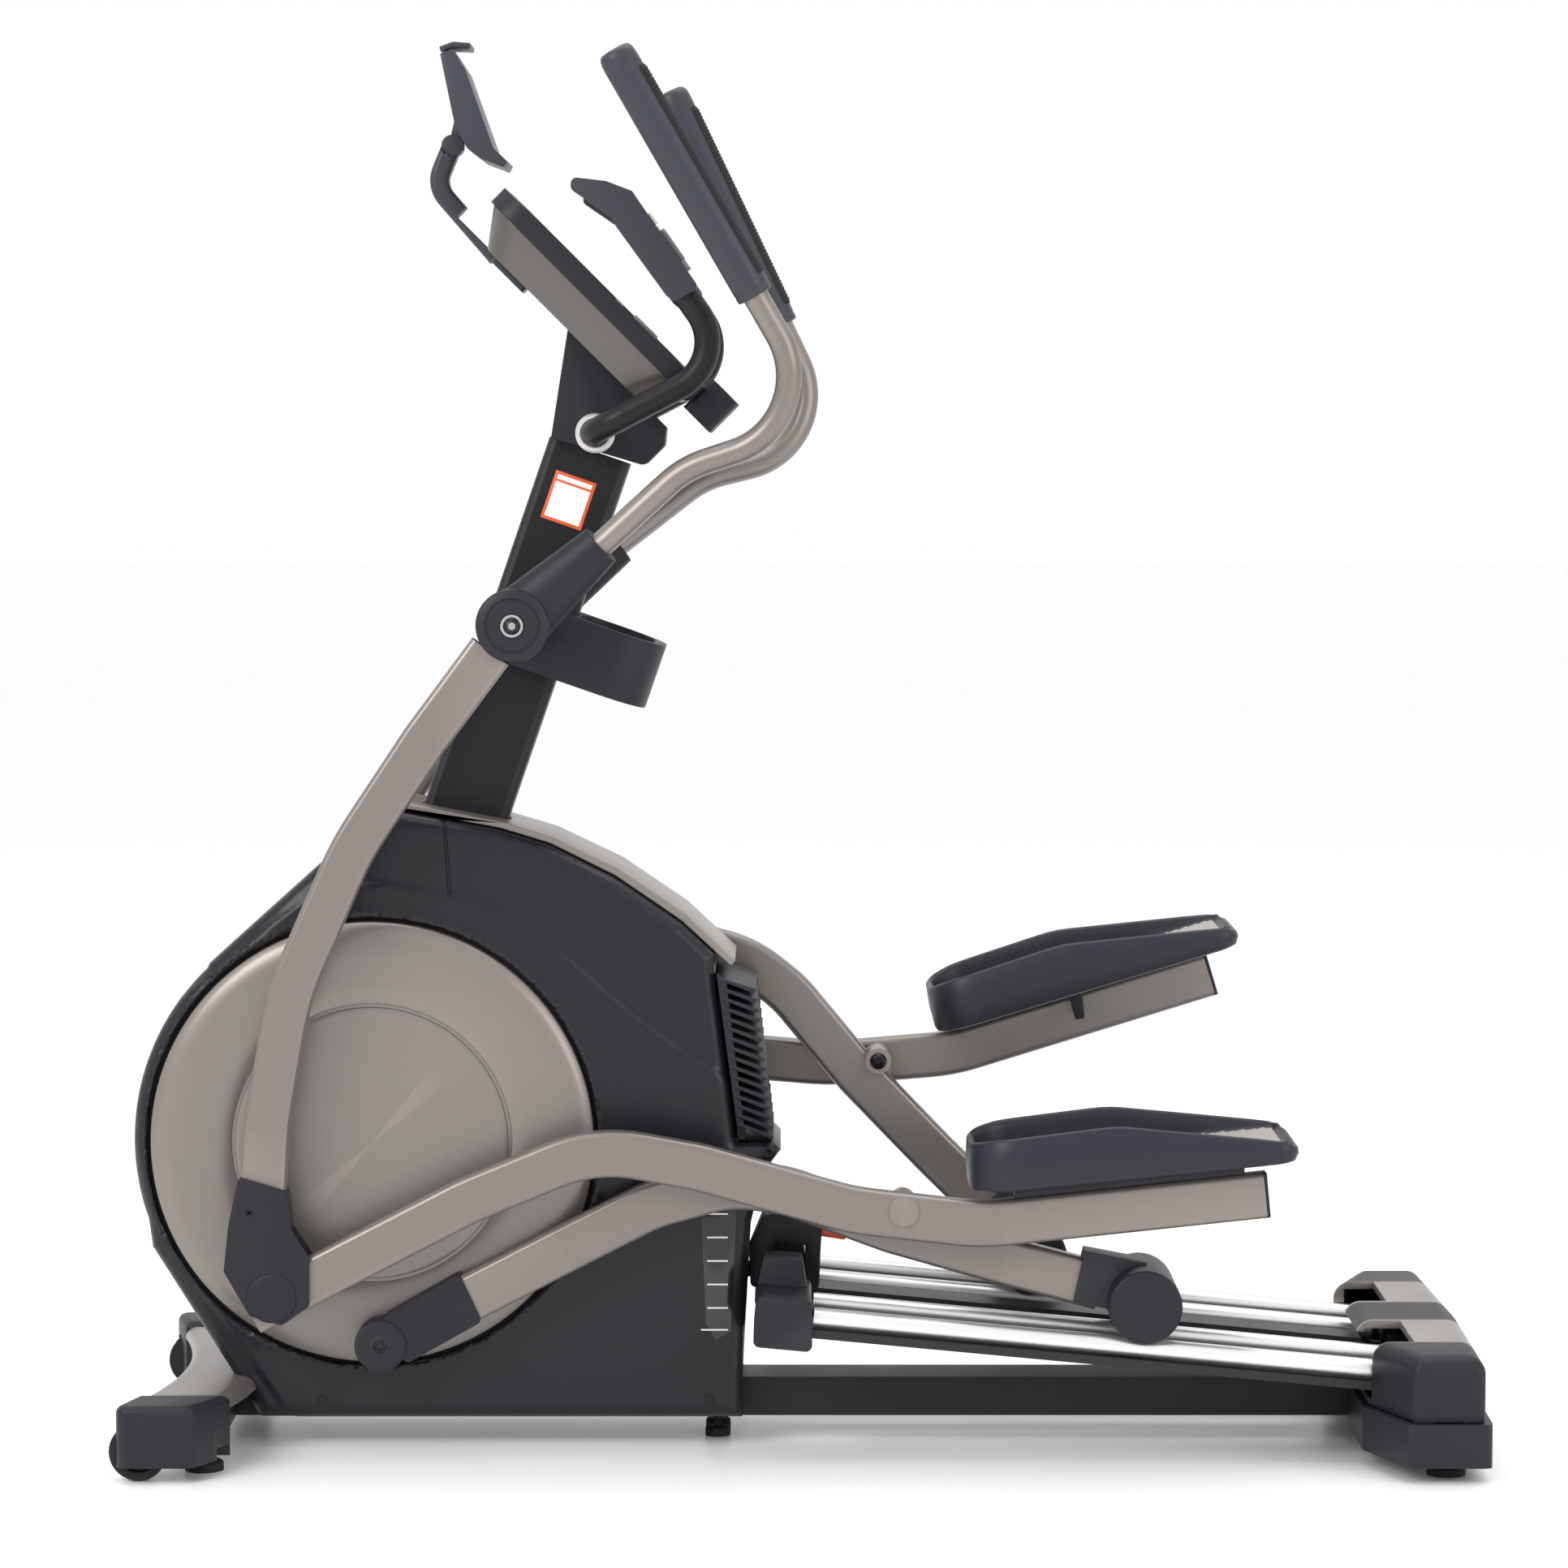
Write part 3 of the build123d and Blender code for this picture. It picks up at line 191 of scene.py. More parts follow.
# ---------------------------------------------------------------- mesh helpers
def grid_faces(rows, columns, closed_rows=False, closed_columns=False):
    """Four-sided faces between neighbours in a grid of points that is stored row by row."""
    faces = []
    for row in range(rows if closed_rows else rows - 1):
        here, ahead = row * columns, (row + 1) % rows * columns
        for column in range(columns if closed_columns else columns - 1):
            beside = (column + 1) % columns
            faces.append((here + column, here + beside, ahead + beside, ahead + column))
    return faces


def plate_faces(count):
    """The two outlines of a plate, of count points each, and the walls between them."""
    faces = [tuple(range(count)), tuple(range(2 * count - 1, count - 1, -1))]
    for i in range(count):
        after = (i + 1) % count
        faces.append((i, i + count, after + count, after))
    return faces


def mesh_object(name, verts, faces, material, smooth=35.0):
    """A mesh from millimetre points, with clean normals."""
    mesh = bpy.data.meshes.new(name)
    mesh.from_pydata([tuple(c * MM for c in v) for v in verts], [], faces)
    obj = bpy.data.objects.new(name, mesh)
    bpy.context.scene.collection.objects.link(obj)
    mesh.materials.append(MATERIALS[material])
    work = bmesh.new()
    work.from_mesh(mesh)
    bmesh.ops.remove_doubles(work, verts=work.verts, dist=1e-6)
    bmesh.ops.recalc_face_normals(work, faces=work.faces)
    work.to_mesh(mesh)
    work.free()
    shade(obj, smooth)
    return obj


def shade(obj, degrees):
    """Smooth shading, with a sharp edge wherever two faces meet at more than an angle."""
    obj.data.polygons.foreach_set("use_smooth", [True] * len(obj.data.polygons))
    obj.data.set_sharp_from_angle(angle=math.radians(degrees))


def rounded_edges(obj, width, segments=3, degrees=28.0):
    """Rounds the sharp edges by a width in millimetres, and keeps the result in the mesh."""
    work = bmesh.new()
    work.from_mesh(obj.data)
    bmesh.ops.remove_doubles(work, verts=work.verts, dist=2e-6)
    bmesh.ops.dissolve_limit(work, angle_limit=math.radians(0.7), verts=work.verts, edges=work.edges)
    work.to_mesh(obj.data)
    work.free()
    bevel = obj.modifiers.new("round", "BEVEL")
    bevel.width = width * MM
    bevel.segments = segments
    bevel.limit_method = "ANGLE"
    bevel.angle_limit = math.radians(degrees)
    bevel.use_clamp_overlap = True
    bevel.harden_normals = False
    apply_modifiers(obj)
    shade(obj, 50.0)


def apply_modifiers(obj):
    bpy.context.view_layer.update()
    evaluated = obj.evaluated_get(bpy.context.evaluated_depsgraph_get())
    mesh = bpy.data.meshes.new_from_object(evaluated)
    mesh.name = obj.name
    obj.modifiers.clear()
    obj.data = mesh


def finish_piece(obj, body, replaced=()):
    """Hides the CAD nodes that a piece stands for, if any, and puts the piece in its body."""
    if replaced:
        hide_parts(*replaced)
    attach(obj, body)
    return obj


def soften(node, width, material=None, segments=3):
    """A rounded version of a CAD node, which stands for it."""
    source = NODES[node]
    obj = bpy.data.objects.new(node + "_look", source.data.copy())
    bpy.context.scene.collection.objects.link(obj)
    obj.data.materials.clear()
    obj.data.materials.append(MATERIALS[material or SLOT_OF[node]])
    rounded_edges(obj, width, segments)
    return finish_piece(obj, source["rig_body"], [node])


def highlight_banded(node, width, low, high, above, material):
    """A softened node whose top takes another material in a band on each side of the middle, as a painted
    highlight.
    """
    obj = soften(node, width)
    top = bpy.data.objects.new(node + "_band", obj.data.copy())
    bpy.context.scene.collection.objects.link(top)
    top.data.materials.clear()
    top.data.materials.append(MATERIALS[material])
    cuts = [((0, y * MM, 0), (0, 1, 0)) for y in (-high, -low, low, high)]
    cuts.append(((0, 0, above * MM), (0, 0, 1)))
    for piece, keeps_band in ((obj, False), (top, True)):
        work = bmesh.new()
        work.from_mesh(piece.data)
        for place, normal in cuts:
            everything = work.verts[:] + work.edges[:] + work.faces[:]
            bmesh.ops.bisect_plane(work, geom=everything, plane_co=place, plane_no=normal)
        gone = []
        for face in work.faces:
            middle = face.calc_center_median()
            in_band = low * MM < abs(middle.y) < high * MM and middle.z > above * MM
            if in_band != keeps_band:
                gone.append(face)
        bmesh.ops.delete(work, geom=gone, context="FACES")
        work.to_mesh(piece.data)
        work.free()
    finish_piece(top, "frame")


def prism(name, points, y0, y1, material, width=1.5):
    """A plate with a side view in X and Z, between two values of Y, with rounded edges."""
    verts = [(x, y0, z) for x, z in points] + [(x, y1, z) for x, z in points]
    obj = mesh_object(name, verts, plate_faces(len(points)), material)
    if width:
        rounded_edges(obj, width, 2)
    return obj


def lathe(name, profile, centre, material, steps=96, smooth=35.0):
    """A profile of (radius, y) turned about a Y axis through centre."""
    verts = []
    for i in range(steps):
        a = 2 * math.pi * i / steps
        verts += [(centre[0] + r * math.cos(a), y, centre[1] + r * math.sin(a)) for r, y in profile]
    return mesh_object(name, verts, grid_faces(steps, len(profile), closed_rows=True), material, smooth)


def sweep(name, path, section, material):
    """A section of (side, up) points carried along 3-D points, kept level to Y, with closed ends."""
    verts = []
    for i, p in enumerate(path):
        ahead = Vector(path[min(i + 1, len(path) - 1)]) - Vector(path[max(i - 1, 0)])
        ahead.normalize()
        side = Vector((0, 1, 0)) - ahead * ahead.y
        side.normalize()
        up = side.cross(ahead)
        verts += [tuple(Vector(p) + side * a + up * b) for a, b in section]
    count = len(section)
    faces = grid_faces(len(path), count, closed_columns=True)
    faces += [tuple(range(count)), tuple(range(len(verts) - 1, len(verts) - count - 1, -1))]
    return mesh_object(name, verts, faces, material, 40.0)


def rounded_rectangle(width, height, radius, steps=6):
    points = []
    for cx, cy, start in ((1, 1, 0), (-1, 1, 90), (-1, -1, 180), (1, -1, 270)):
        for i in range(steps + 1):
            a = math.radians(start + 90 * i / steps)
            points.append((cx * (width / 2 - radius) + radius * math.cos(a),
                           cy * (height / 2 - radius) + radius * math.sin(a)))
    return points


def on_plane(obj, origin, normal):
    """Turns a piece built about the origin, facing -Y, to face along normal at a place in millimetres."""
    forward = Vector(normal).normalized()
    side = Vector((0, 0, 1)).cross(forward).normalized()
    rise = forward.cross(side)
    turn = Matrix((side, -forward, rise)).transposed().to_4x4()
    obj.data.transform(Matrix.Translation(Vector(origin) * MM) @ turn)
    return obj


def screw(name, origin, normal, radius, body):
    """A button-head screw with a hexagonal socket."""
    head = [(radius * 0.72, -radius * 0.46), (radius * 0.93, -radius * 0.25), (radius, 0),
            (radius, radius * 0.3)]
    steps = 36
    verts = []
    for i in range(steps):
        a = 2 * math.pi * i / steps
        sector = (a + math.pi / 6) % (math.pi / 3) - math.pi / 6
        flat = 0.5 * radius * math.cos(math.pi / 6) / math.cos(sector)
        socket = [(flat * 0.96, radius * 0.1), (flat * 0.96, -radius * 0.42), (flat * 1.08, -radius * 0.52)]
        verts += [(q * math.cos(a), y, q * math.sin(a)) for q, y in socket + head]
    count = len(verts) // steps
    faces = grid_faces(steps, count, closed_rows=True)
    faces.append(tuple(i * count for i in range(steps)))
    obj = on_plane(mesh_object(name, verts, faces, "screw_black", 30), origin, normal)
    return finish_piece(obj, body)


# ---------------------------------------------------------------- carrying left pieces to the right side
def carry(start, end):
    """Mirrors a left piece, then moves it as its side's linkage moves it."""
    def angle(line):
        return math.atan2(line[1][1] - line[0][1], line[1][0] - line[0][0])
    turn = angle(end) - angle(start)
    back = Matrix.Translation((-start[0][0] * MM, 0, -start[0][1] * MM))
    there = Matrix.Translation((end[0][0] * MM, 0, end[0][1] * MM))
    return there @ Matrix.Rotation(-turn, 4, "Y") @ back @ ON_FRAME


ON_FRAME = Matrix.Diagonal((1, -1, 1, 1))
ON_LINK = carry((LEFT_PIN, LEFT_ROLLER), (RIGHT_PIN, RIGHT_ROLLER))
ON_ARM = carry((LEFT_JOINT, LEFT_PIVOT), (RIGHT_JOINT, RIGHT_PIVOT))
ON_SWING = carry((SWING, LEFT_JOINT), (SWING, RIGHT_JOINT))
TO_SWING = Matrix.Translation((SWING[0] * MM, 0, SWING[1] * MM))
FROM_SWING = Matrix.Translation((-SWING[0] * MM, 0, -SWING[1] * MM))
ON_HANDLE = TO_SWING @ Matrix.Rotation(math.radians(HANDLE_TURN), 4, "Y") @ FROM_SWING @ ON_FRAME


def other_side(obj, matrix, body, replaced=()):
    """The right side's copy of a finished left piece."""
    mesh = obj.data.copy()
    mesh.transform(matrix)
    mesh.flip_normals()
    twin = bpy.data.objects.new(obj.name.replace("left", "right"), mesh)
    bpy.context.scene.collection.objects.link(twin)
    finish_piece(twin, body, replaced)


def pair(obj, matrix, body, replaced=()):
    """Finishes a left piece and its twin. body and replaced are named for the left."""
    right_nodes = [node_name.replace("left_", "right_") for node_name in replaced]
    other_side(obj, matrix, body.replace("left_", "right_"), right_nodes)
    finish_piece(obj, body, replaced)


def paired_screw(name, origin, normal, radius, matrix, body):
    """A screw on the left, with its copy on the right."""
    left = screw(name, origin, normal, radius, body)
    other_side(left, matrix, body.replace("left_", "right_"))


# ---------------------------------------------------------------- every CAD node gets its material
for node_name, node in NODES.items():
    node.data.materials.clear()
    node.data.materials.append(MATERIALS[SLOT_OF[node_name]])
    shade(node, 32.0)

# ---------------------------------------------------------------- casing: outlines in its side view
HOUSING = [(-690, 37), (-826, 255), (-846, 420), (-751, 616), (-552, 795), (-532, 813), (-382, 785),
           (-320, 766), (-238, 725), (-155, 668), (-112, 628), (-112, 607), (-84, 390), (-40, 390),
           (-29, 379), (-52, 348), (-67, 286), (-78, 80), (-78, 37)]
RIDGE = [(-700, 640), (-609, 709), (-527, 717), (-403, 692), (-300, 622), (-227, 557), (-155, 503),
         (-70, 452)]
SEAM = [(-452, 797), (-446, 705)]
CREASE = [(-800, 262), (-655, 52)]
ROUND_RADIUS = 302.5
ROUND_ENDS_X = -620
OPENING_RADIUS = 286.0

# depths from the machine's middle plane, and how the face is shaped
FACE_DEPTH = 110.0
RETURN_DEPTH = 92
MIDDLE_GAP = 0.3
RIDGE_STEP = 4.0
RIDGE_STARTS_Z = 430
CREASE_STEP = 3.0
CREASE_ENDS_Z = 300
CREASE_ENDS_X = -600
STEP_FADE = 60
EDGE_ROUND = 20.0
OPENING_LIP = 1.5
OPENING_ROUND = 3.0
SEAM_HALF_WIDTH = 1.4
SEAM_DEPTH = 2.0


def dense(line, step):
    """The same line with points less than two steps apart."""
    points = []
    for (x0, z0), (x1, z1) in zip(line, line[1:]):
        count = max(1, int(math.hypot(x1 - x0, z1 - z0) / step))
        points += [(x0 + (x1 - x0) * i / count, z0 + (z1 - z0) * i / count) for i in range(count)]
    return points + [line[-1]]


def dense_loop(outline, step):
    return dense(outline + outline[:1], step)[:-1]


def crank_distance(x, z):
    return math.hypot(x - CRANK[0], z - CRANK[1])


def crank_circle(radius, count, turn=0.0):
    """Points on a circle about the crank, turned by a part of their spacing."""
    angles = [2 * math.pi * (i + turn) / count for i in range(count)]
    return [(CRANK[0] + radius * math.cos(a), CRANK[1] + radius * math.sin(a)) for a in angles]


def housing_boundary():
    """The casing's side view: the outline, pushed out to a round where it passes inside it."""
    points = []
    for x, z in dense_loop(HOUSING, 7.0):
        reach = crank_distance(x, z)
        if reach < ROUND_RADIUS and x < ROUND_ENDS_X:
            x = CRANK[0] + (x - CRANK[0]) * ROUND_RADIUS / reach
            z = CRANK[1] + (z - CRANK[1]) * ROUND_RADIUS / reach
        points.append((x, z))
    return points


def distance_to(x, z, line, closed=False):
    """The distance to a line, and the side of it that the point is on, as 1 or -1."""
    best, side = 1e9, 1.0
    ends = line[1:] + line[:1] if closed else line[1:]
    for (x0, z0), (x1, z1) in zip(line, ends):
        dx, dz = x1 - x0, z1 - z0
        t = max(0.0, min(1.0, ((x - x0) * dx + (z - z0) * dz) / (dx * dx + dz * dz)))
        d = math.hypot(x - x0 - t * dx, z - z0 - t * dz)
        if d < best:
            best, side = d, math.copysign(1.0, dx * (z - z0) - dz * (x - x0))
    return best, side


def smooth_step(t):
    t = max(0.0, min(1.0, t))
    return t * t * (3 - 2 * t)


def round_drop(distance, radius):
    """How far a rounded edge has fallen away at a distance in from it."""
    if distance >= radius:
        return 0.0
    return radius - math.sqrt(max(0.0, radius ** 2 - (radius - distance) ** 2))


def housing_depth(x, z, boundary):
    """How far the casing's face stands from the middle."""
    edge, _ = distance_to(x, z, boundary, True)
    ridge, side = distance_to(x, z, RIDGE)
    crease, crease_side = distance_to(x, z, CREASE)
    seam, _ = distance_to(x, z, SEAM)
    rim = crank_distance(x, z) - OPENING_RADIUS
    past_ridge = smooth_step((side * ridge + 1.0) / 9.0)
    past_crease = smooth_step((-crease_side * crease + 1.0) / 8.0)
    depth = FACE_DEPTH - RIDGE_STEP * past_ridge * smooth_step((z - RIDGE_STARTS_Z) / STEP_FADE)
    if x < CREASE_ENDS_X:
        depth -= CREASE_STEP * past_crease * smooth_step((CREASE_ENDS_Z - z) / STEP_FADE)
    depth -= round_drop(edge, EDGE_ROUND)
    depth += OPENING_LIP * (1 - smooth_step((rim - 5) / 5))
    depth -= round_drop(rim, OPENING_ROUND)
    if seam < SEAM_HALF_WIDTH:
        depth -= SEAM_DEPTH
    return depth


def offset_line(line, distance):
    """A line moved to its left, point by point."""
    shifted = []
    for i, (x, z) in enumerate(line):
        x0, z0 = line[max(i - 1, 0)]
        x1, z1 = line[min(i + 1, len(line) - 1)]
        length = math.hypot(x1 - x0, z1 - z0)
        shifted.append((x - distance * (z1 - z0) / length, z + distance * (x1 - x0) / length))
    return shifted


def inside(x, z, polygon):
    hit = False
    for (x0, z0), (x1, z1) in zip(polygon, polygon[1:] + polygon[:1]):
        if (z0 > z) != (z1 > z) and x < x0 + (z - z0) / (z1 - z0) * (x1 - x0):
            hit = not hit
    return hit


def contour_points(boundary):
    """Points along every contour of the face, and a plain grid between them."""
    points = []
    for inset in (1.0, 3.0, 6.0, 10.0, 15.0, 21.0):
        points += offset_line(boundary + boundary[:1], -inset)
    for reach in (1.0, 2.0, 3.2, 5.0, 8.0, 11.0):
        points += crank_circle(OPENING_RADIUS + reach, 150, 0.5)
    for shift in (-3, 0, 3, 6, 9):
        points += offset_line(dense(RIDGE, 6.0), shift)
        points += offset_line(dense(CREASE, 6.0), -shift)
    for shift in (-2.2, -1.3, 0, 1.3, 2.2):
        points += offset_line(dense(SEAM, 2.5), shift)
    points += [(x, z) for x in range(-840, -30, 9) for z in range(45, 810, 9)]
    points = [p for p in points if inside(*p, boundary) and crank_distance(*p) > OPENING_RADIUS + 0.6]
    return [p for p in points if distance_to(*p, boundary, True)[0] > 0.7]


def housing_side():
    """The left half of the casing as one skin with its contours, its disc opening and its return edge."""
    boundary = housing_boundary()
    hole = crank_circle(OPENING_RADIUS, 180)
    points = boundary + hole + contour_points(boundary)
    edges = [(i, (i + 1) % len(boundary)) for i in range(len(boundary))]
    edges += [(len(boundary) + i, len(boundary) + (i + 1) % len(hole)) for i in range(len(hole))]
    out = delaunay_2d_cdt([Vector(p) for p in points], edges, [], 1, 1e-4)
    flat = out[0]
    faces = []
    for triangle in out[2]:
        centre = sum((flat[i] for i in triangle), Vector((0, 0))) / 3
        if crank_distance(centre.x, centre.y) > OPENING_RADIUS - 0.5 and inside(centre.x, centre.y, boundary):
            faces.append(tuple(triangle))
    verts = [(p.x, -housing_depth(p.x, p.y, boundary), p.y) for p in flat]
    skin = mesh_object("left_housing_skin", verts, faces, "shell_dark", 60)
    work = bmesh.new()
    work.from_mesh(skin.data)
    rim = [e for e in work.edges if e.is_boundary]
    grown = bmesh.ops.extrude_edge_only(work, edges=rim)["geom"]
    for v in [g for g in grown if isinstance(g, bmesh.types.BMVert)]:
        near_hole = crank_distance(v.co.x / MM, v.co.z / MM) < OPENING_RADIUS + 2
        v.co.y = -RETURN_DEPTH * MM if near_hole else -MIDDLE_GAP * MM
    bmesh.ops.recalc_face_normals(work, faces=work.faces)
    work.to_mesh(skin.data)
    work.free()
    shade(skin, 40)
    return skin


pair(housing_side(), ON_FRAME, "frame", ["left_housing"])

# screw recesses in the casing's face, coloured near-black as painted shade in the hollows
RECESS = [(0.1, -106), (3.6, -106), (3.6, -110.4), (5.4, -110.9), (6.6, -110.2), (6.6, -108)]
for index, place in enumerate([(-610, 63), (-120, 63), (-45, 378)]):
    recess = lathe(f"left_shell_screw_{index}", RECESS, place, "gap_black", 32)
    pair(recess, ON_FRAME, "frame")

# level scale: a black inlay with ticks beside the ramp's latch, and longer ticks at its ends
SCALE = [(-131, 320), (-100, 334), (-84, 322), (-92, 150), (-112, 138), (-124, 160)]
TICK_HEIGHTS = [300, 270, 240, 210, 180, 152]
TICK_REAR = -96
inlay = prism("left_level_scale", SCALE, -111.2, -109.4, "screen_black", 0.5)
pair(inlay, ON_FRAME, "frame")
for index, z in enumerate(TICK_HEIGHTS):
    front = TICK_REAR - (34 if z in (TICK_HEIGHTS[0], TICK_HEIGHTS[-1]) else 26)
    outline = [(front, z - 1), (TICK_REAR, z - 1), (TICK_REAR, z + 1), (front, z + 1)]
    tick = prism(f"left_level_tick_{index}", outline, -111.7, -111.0, "mark_silver", 0)
    pair(tick, ON_FRAME, "frame")

# crank discs: a bevelled outer band, a groove, and a flat middle with extra rings that keep its shading even
DISC = [(0.1, -118.2), (80, -118.2), (150, -118.2), (164, -118.2), (167, -118.2), (168, -118.2),
        (171.5, -117.4), (172.5, -115.2), (176.5, -115.2), (177.5, -117.8), (181, -119.6),
        (200, -121.2), (235, -122.4), (254, -122.3), (264, -121.0), (268, -119.4), (270, -118.8),
        (276, -115.5), (279, -112.5), (280, -108.5), (280, -99), (277, -98)]
# a near-black ring inside the casing, behind the gap round each disc: painted shade that keeps the gap dark
DISC_SHADE = [(262, -95.5), (289, -95.5), (289, -94.5), (262, -94.5), (262, -95.5)]
pair(lathe("left_disc_shade", DISC_SHADE, CRANK, "gap_black", 96), ON_FRAME, "frame")
disc = lathe("left_disc_look", DISC, CRANK, "silver_plastic", 192, 28)
pair(disc, ON_FRAME, "crank", ["left_disc"])

# ---------------------------------------------------------------- nodes with rounded edges
soften("top_trim", 3.0)
soften("rear_grille", 1.2, segments=2)
# the rear foot's dark top is silver in a band on each side of the middle: a painted highlight
highlight_banded("rear_foot", 6.0, 62.0, 215.0, 128.0, "silver_plastic")
ROUNDINGS = {
    "front_foot_cover": 4.0, "front_end_caps": 7.0, "ramp_head": 5.0, "ramp_handle": 4.0,
    "release_trigger": 2.5, "console_neck": 4.0, "accessory_tray": 3.0, "tablet_arm": 2.5,
    "tablet_cradle": 2.0, "tablet_jaw": 2.0, "left_grip_key": 1.5, "right_grip_key": 1.5,
    "left_fork_cover": 3.0, "right_fork_cover": 3.0, "left_roller_cover": 3.5, "right_roller_cover": 3.5,
    "left_link_collar": 3.0, "right_link_collar": 3.0, "pulse_grips": 3.0,
}
for name, width in ROUNDINGS.items():
    soften(name, width)

# ---------------------------------------------------------------- pedals
PEDAL_X = (204.0, 614.0)
PEDAL_MID_Y = -145.0
PEDAL_HALF = 95.0
FRONT_CORNER = 62
REAR_CORNER = 26
PEDAL_RIM = [(204, 402), (214, 406), (238, 411), (372, 428), (386, 429), (400, 428.6), (560, 414),
             (592, 410.5), (604, 408), (612, 404)]
TREAD_X = (222.0, 594.0)
TREAD_HALF = 74.0
SCALE_LENGTH = 13.0
SCALE_WIDTH = 15.0


def height_along(x, table):
    """A height read from a short list of (x, height)."""
    for (x0, h0), (x1, h1) in zip(table, table[1:]):
        if x <= x1:
            return h0 + (h1 - h0) * max(0.0, (x - x0) / (x1 - x0))
    return table[-1][1]


def pedal_floor(x):
    return 368.0 + (x - 222) * 0.095


def pedal_under(x):
    return 343.5 + (x - 219) * 0.101


def pedal_plan(steps=10):
    """The tray seen from above: a round front, straight sides and a blunt rear."""
    points = []
    front, rear = PEDAL_X
    corners = ((rear - REAR_CORNER, 1, REAR_CORNER, 0), (front + FRONT_CORNER, 1, FRONT_CORNER, 90),
               (front + FRONT_CORNER, -1, FRONT_CORNER, 180), (rear - REAR_CORNER, -1, REAR_CORNER, 270))
    for middle, side, r, start in corners:
        for i in range(steps + 1):
            a = math.radians(start + 90 * i / steps)
            y = PEDAL_MID_Y + side * (PEDAL_HALF - r) + r * math.sin(a)
            points.append((middle + r * math.cos(a), y))
    return dense_loop(points, 14)


def tray_heights(x, floor):
    """The heights that the tray's wall passes through at a place along it."""
    top, low = height_along(x, PEDAL_RIM), pedal_under(x)
    return {"under": low, "skirt": low + 2, "low": low + 8, "mid": (low + top) / 2,
            "shoulder": top - 3.4, "brow": top - 1.0, "top": top,
            "deep": max(floor + 6, top - 12), "foot": floor + 3, "floor": floor}


# the wall's profile, from the underside over the rim to the floor, as (inset, height)
TRAY_WALL = [(26, "under"), (10, "under"), (4, "skirt"), (1.5, "low"), (0.0, "mid"), (1.0, "shoulder"),
             (3.0, "brow"), (5.5, "top"), (8.0, "brow"), (10.0, "shoulder"), (11.5, "deep"), (13.0, "foot"),
             (17.0, "floor")]


def pedal_tray():
    """A dished tray: the wall's profile follows the plan's edge, with a floor and an underside."""
    plan = pedal_plan()
    count = len(plan)
    verts = []
    for inset, level in TRAY_WALL:
        for i, (x, y) in enumerate(plan):
            ax, ay = plan[i - 1]
            bx, by = plan[(i + 1) % count]
            length = math.hypot(bx - ax, by - ay)
            px, py = x - inset * (by - ay) / length, y + inset * (bx - ax) / length
            verts.append((px, py, tray_heights(x, pedal_floor(px))[level]))
    faces = grid_faces(len(TRAY_WALL), count, closed_columns=True)
    faces += [tuple(range(count - 1, -1, -1)), tuple(range(len(verts) - count, len(verts)))]
    return mesh_object("left_pedal_tray", verts, faces, "pedal_dark", 42)


def pedal_tread(nx=190, ny=78):
    """The foot plate's skin: rows of shallow overlapping scales."""
    front, rear = TREAD_X
    verts = []
    for i in range(nx + 1):
        x = front + (rear - front) * i / nx
        squeeze = min(1.0, math.sqrt(max(0.0, 1 - max(0.0, (262 - x) / 44) ** 2)) * 0.6 + 0.4)
        row = (x - front) / SCALE_LENGTH
        for j in range(ny + 1):
            v = 2 * j / ny - 1
            y = PEDAL_MID_Y + TREAD_HALF * squeeze * v
            across = (y / SCALE_WIDTH + 0.5 * (int(row) % 2)) % 1.0
            scale = (row % 1.0) * (1 - (2 * across - 1) ** 2)
            border = min(i, nx - i, 2 * j, 2 * (ny - j)) / 5.0
            verts.append((x, y, pedal_floor(x) + 0.8 + min(1.0, border) * (0.6 + 2.0 * scale)))
    return mesh_object("left_pedal_tread", verts, grid_faces(nx + 1, ny + 1), "tread_grey", 40)


pair(pedal_tray(), ON_ARM, "left_pedal_arm_body", ["left_pedal"])
pair(pedal_tread(), ON_ARM, "left_pedal_arm_body")
PAD = [(262, 333.8), (548, 364.5), (548, 378.5), (262, 349.5)]
pad = prism("left_pedal_pad", PAD, -203, -179, "frame_black", 2.0)
pair(pad, ON_ARM, "left_pedal_arm_body")
LUG = [(389, 318), (401, 318), (405, 362), (385, 362)]
lug = prism("left_pedal_lug", LUG, -152, -140, "frame_black", 1.5)
pair(lug, ON_ARM, "left_pedal_arm_body")
PLUG = [(570.5, 366.0), (575.5, 366.4), (581.0, 310.6), (576.0, 310.0)]
plug = prism("left_arm_plug", PLUG, -205, -177, "frame_black", 1.2)
pair(plug, ON_ARM, "left_pedal_arm_body")

# ---------------------------------------------------------------- handlebar grips
HANDLE_BEND = (28.2, -252, 1299.1)
HANDLE_TOP = (-226.6, -280, 1738.8)
GRIP_HALF_WIDTH = 21
GRIP_HALF_DEPTH = 23
PAD_FROM = 14
PAD_TO = 310
RIB_SPACING = 5.0


def handle_frame(length):
    """A start on the handlebar at a length below its top, and the directions along, to the side and up."""
    top = Vector(HANDLE_TOP)
    along = (top - Vector(HANDLE_BEND)).normalized()
    side = (Vector((0, 1, 0)) - along * along.y).normalized()
    return top - along * length, along, side, side.cross(along)


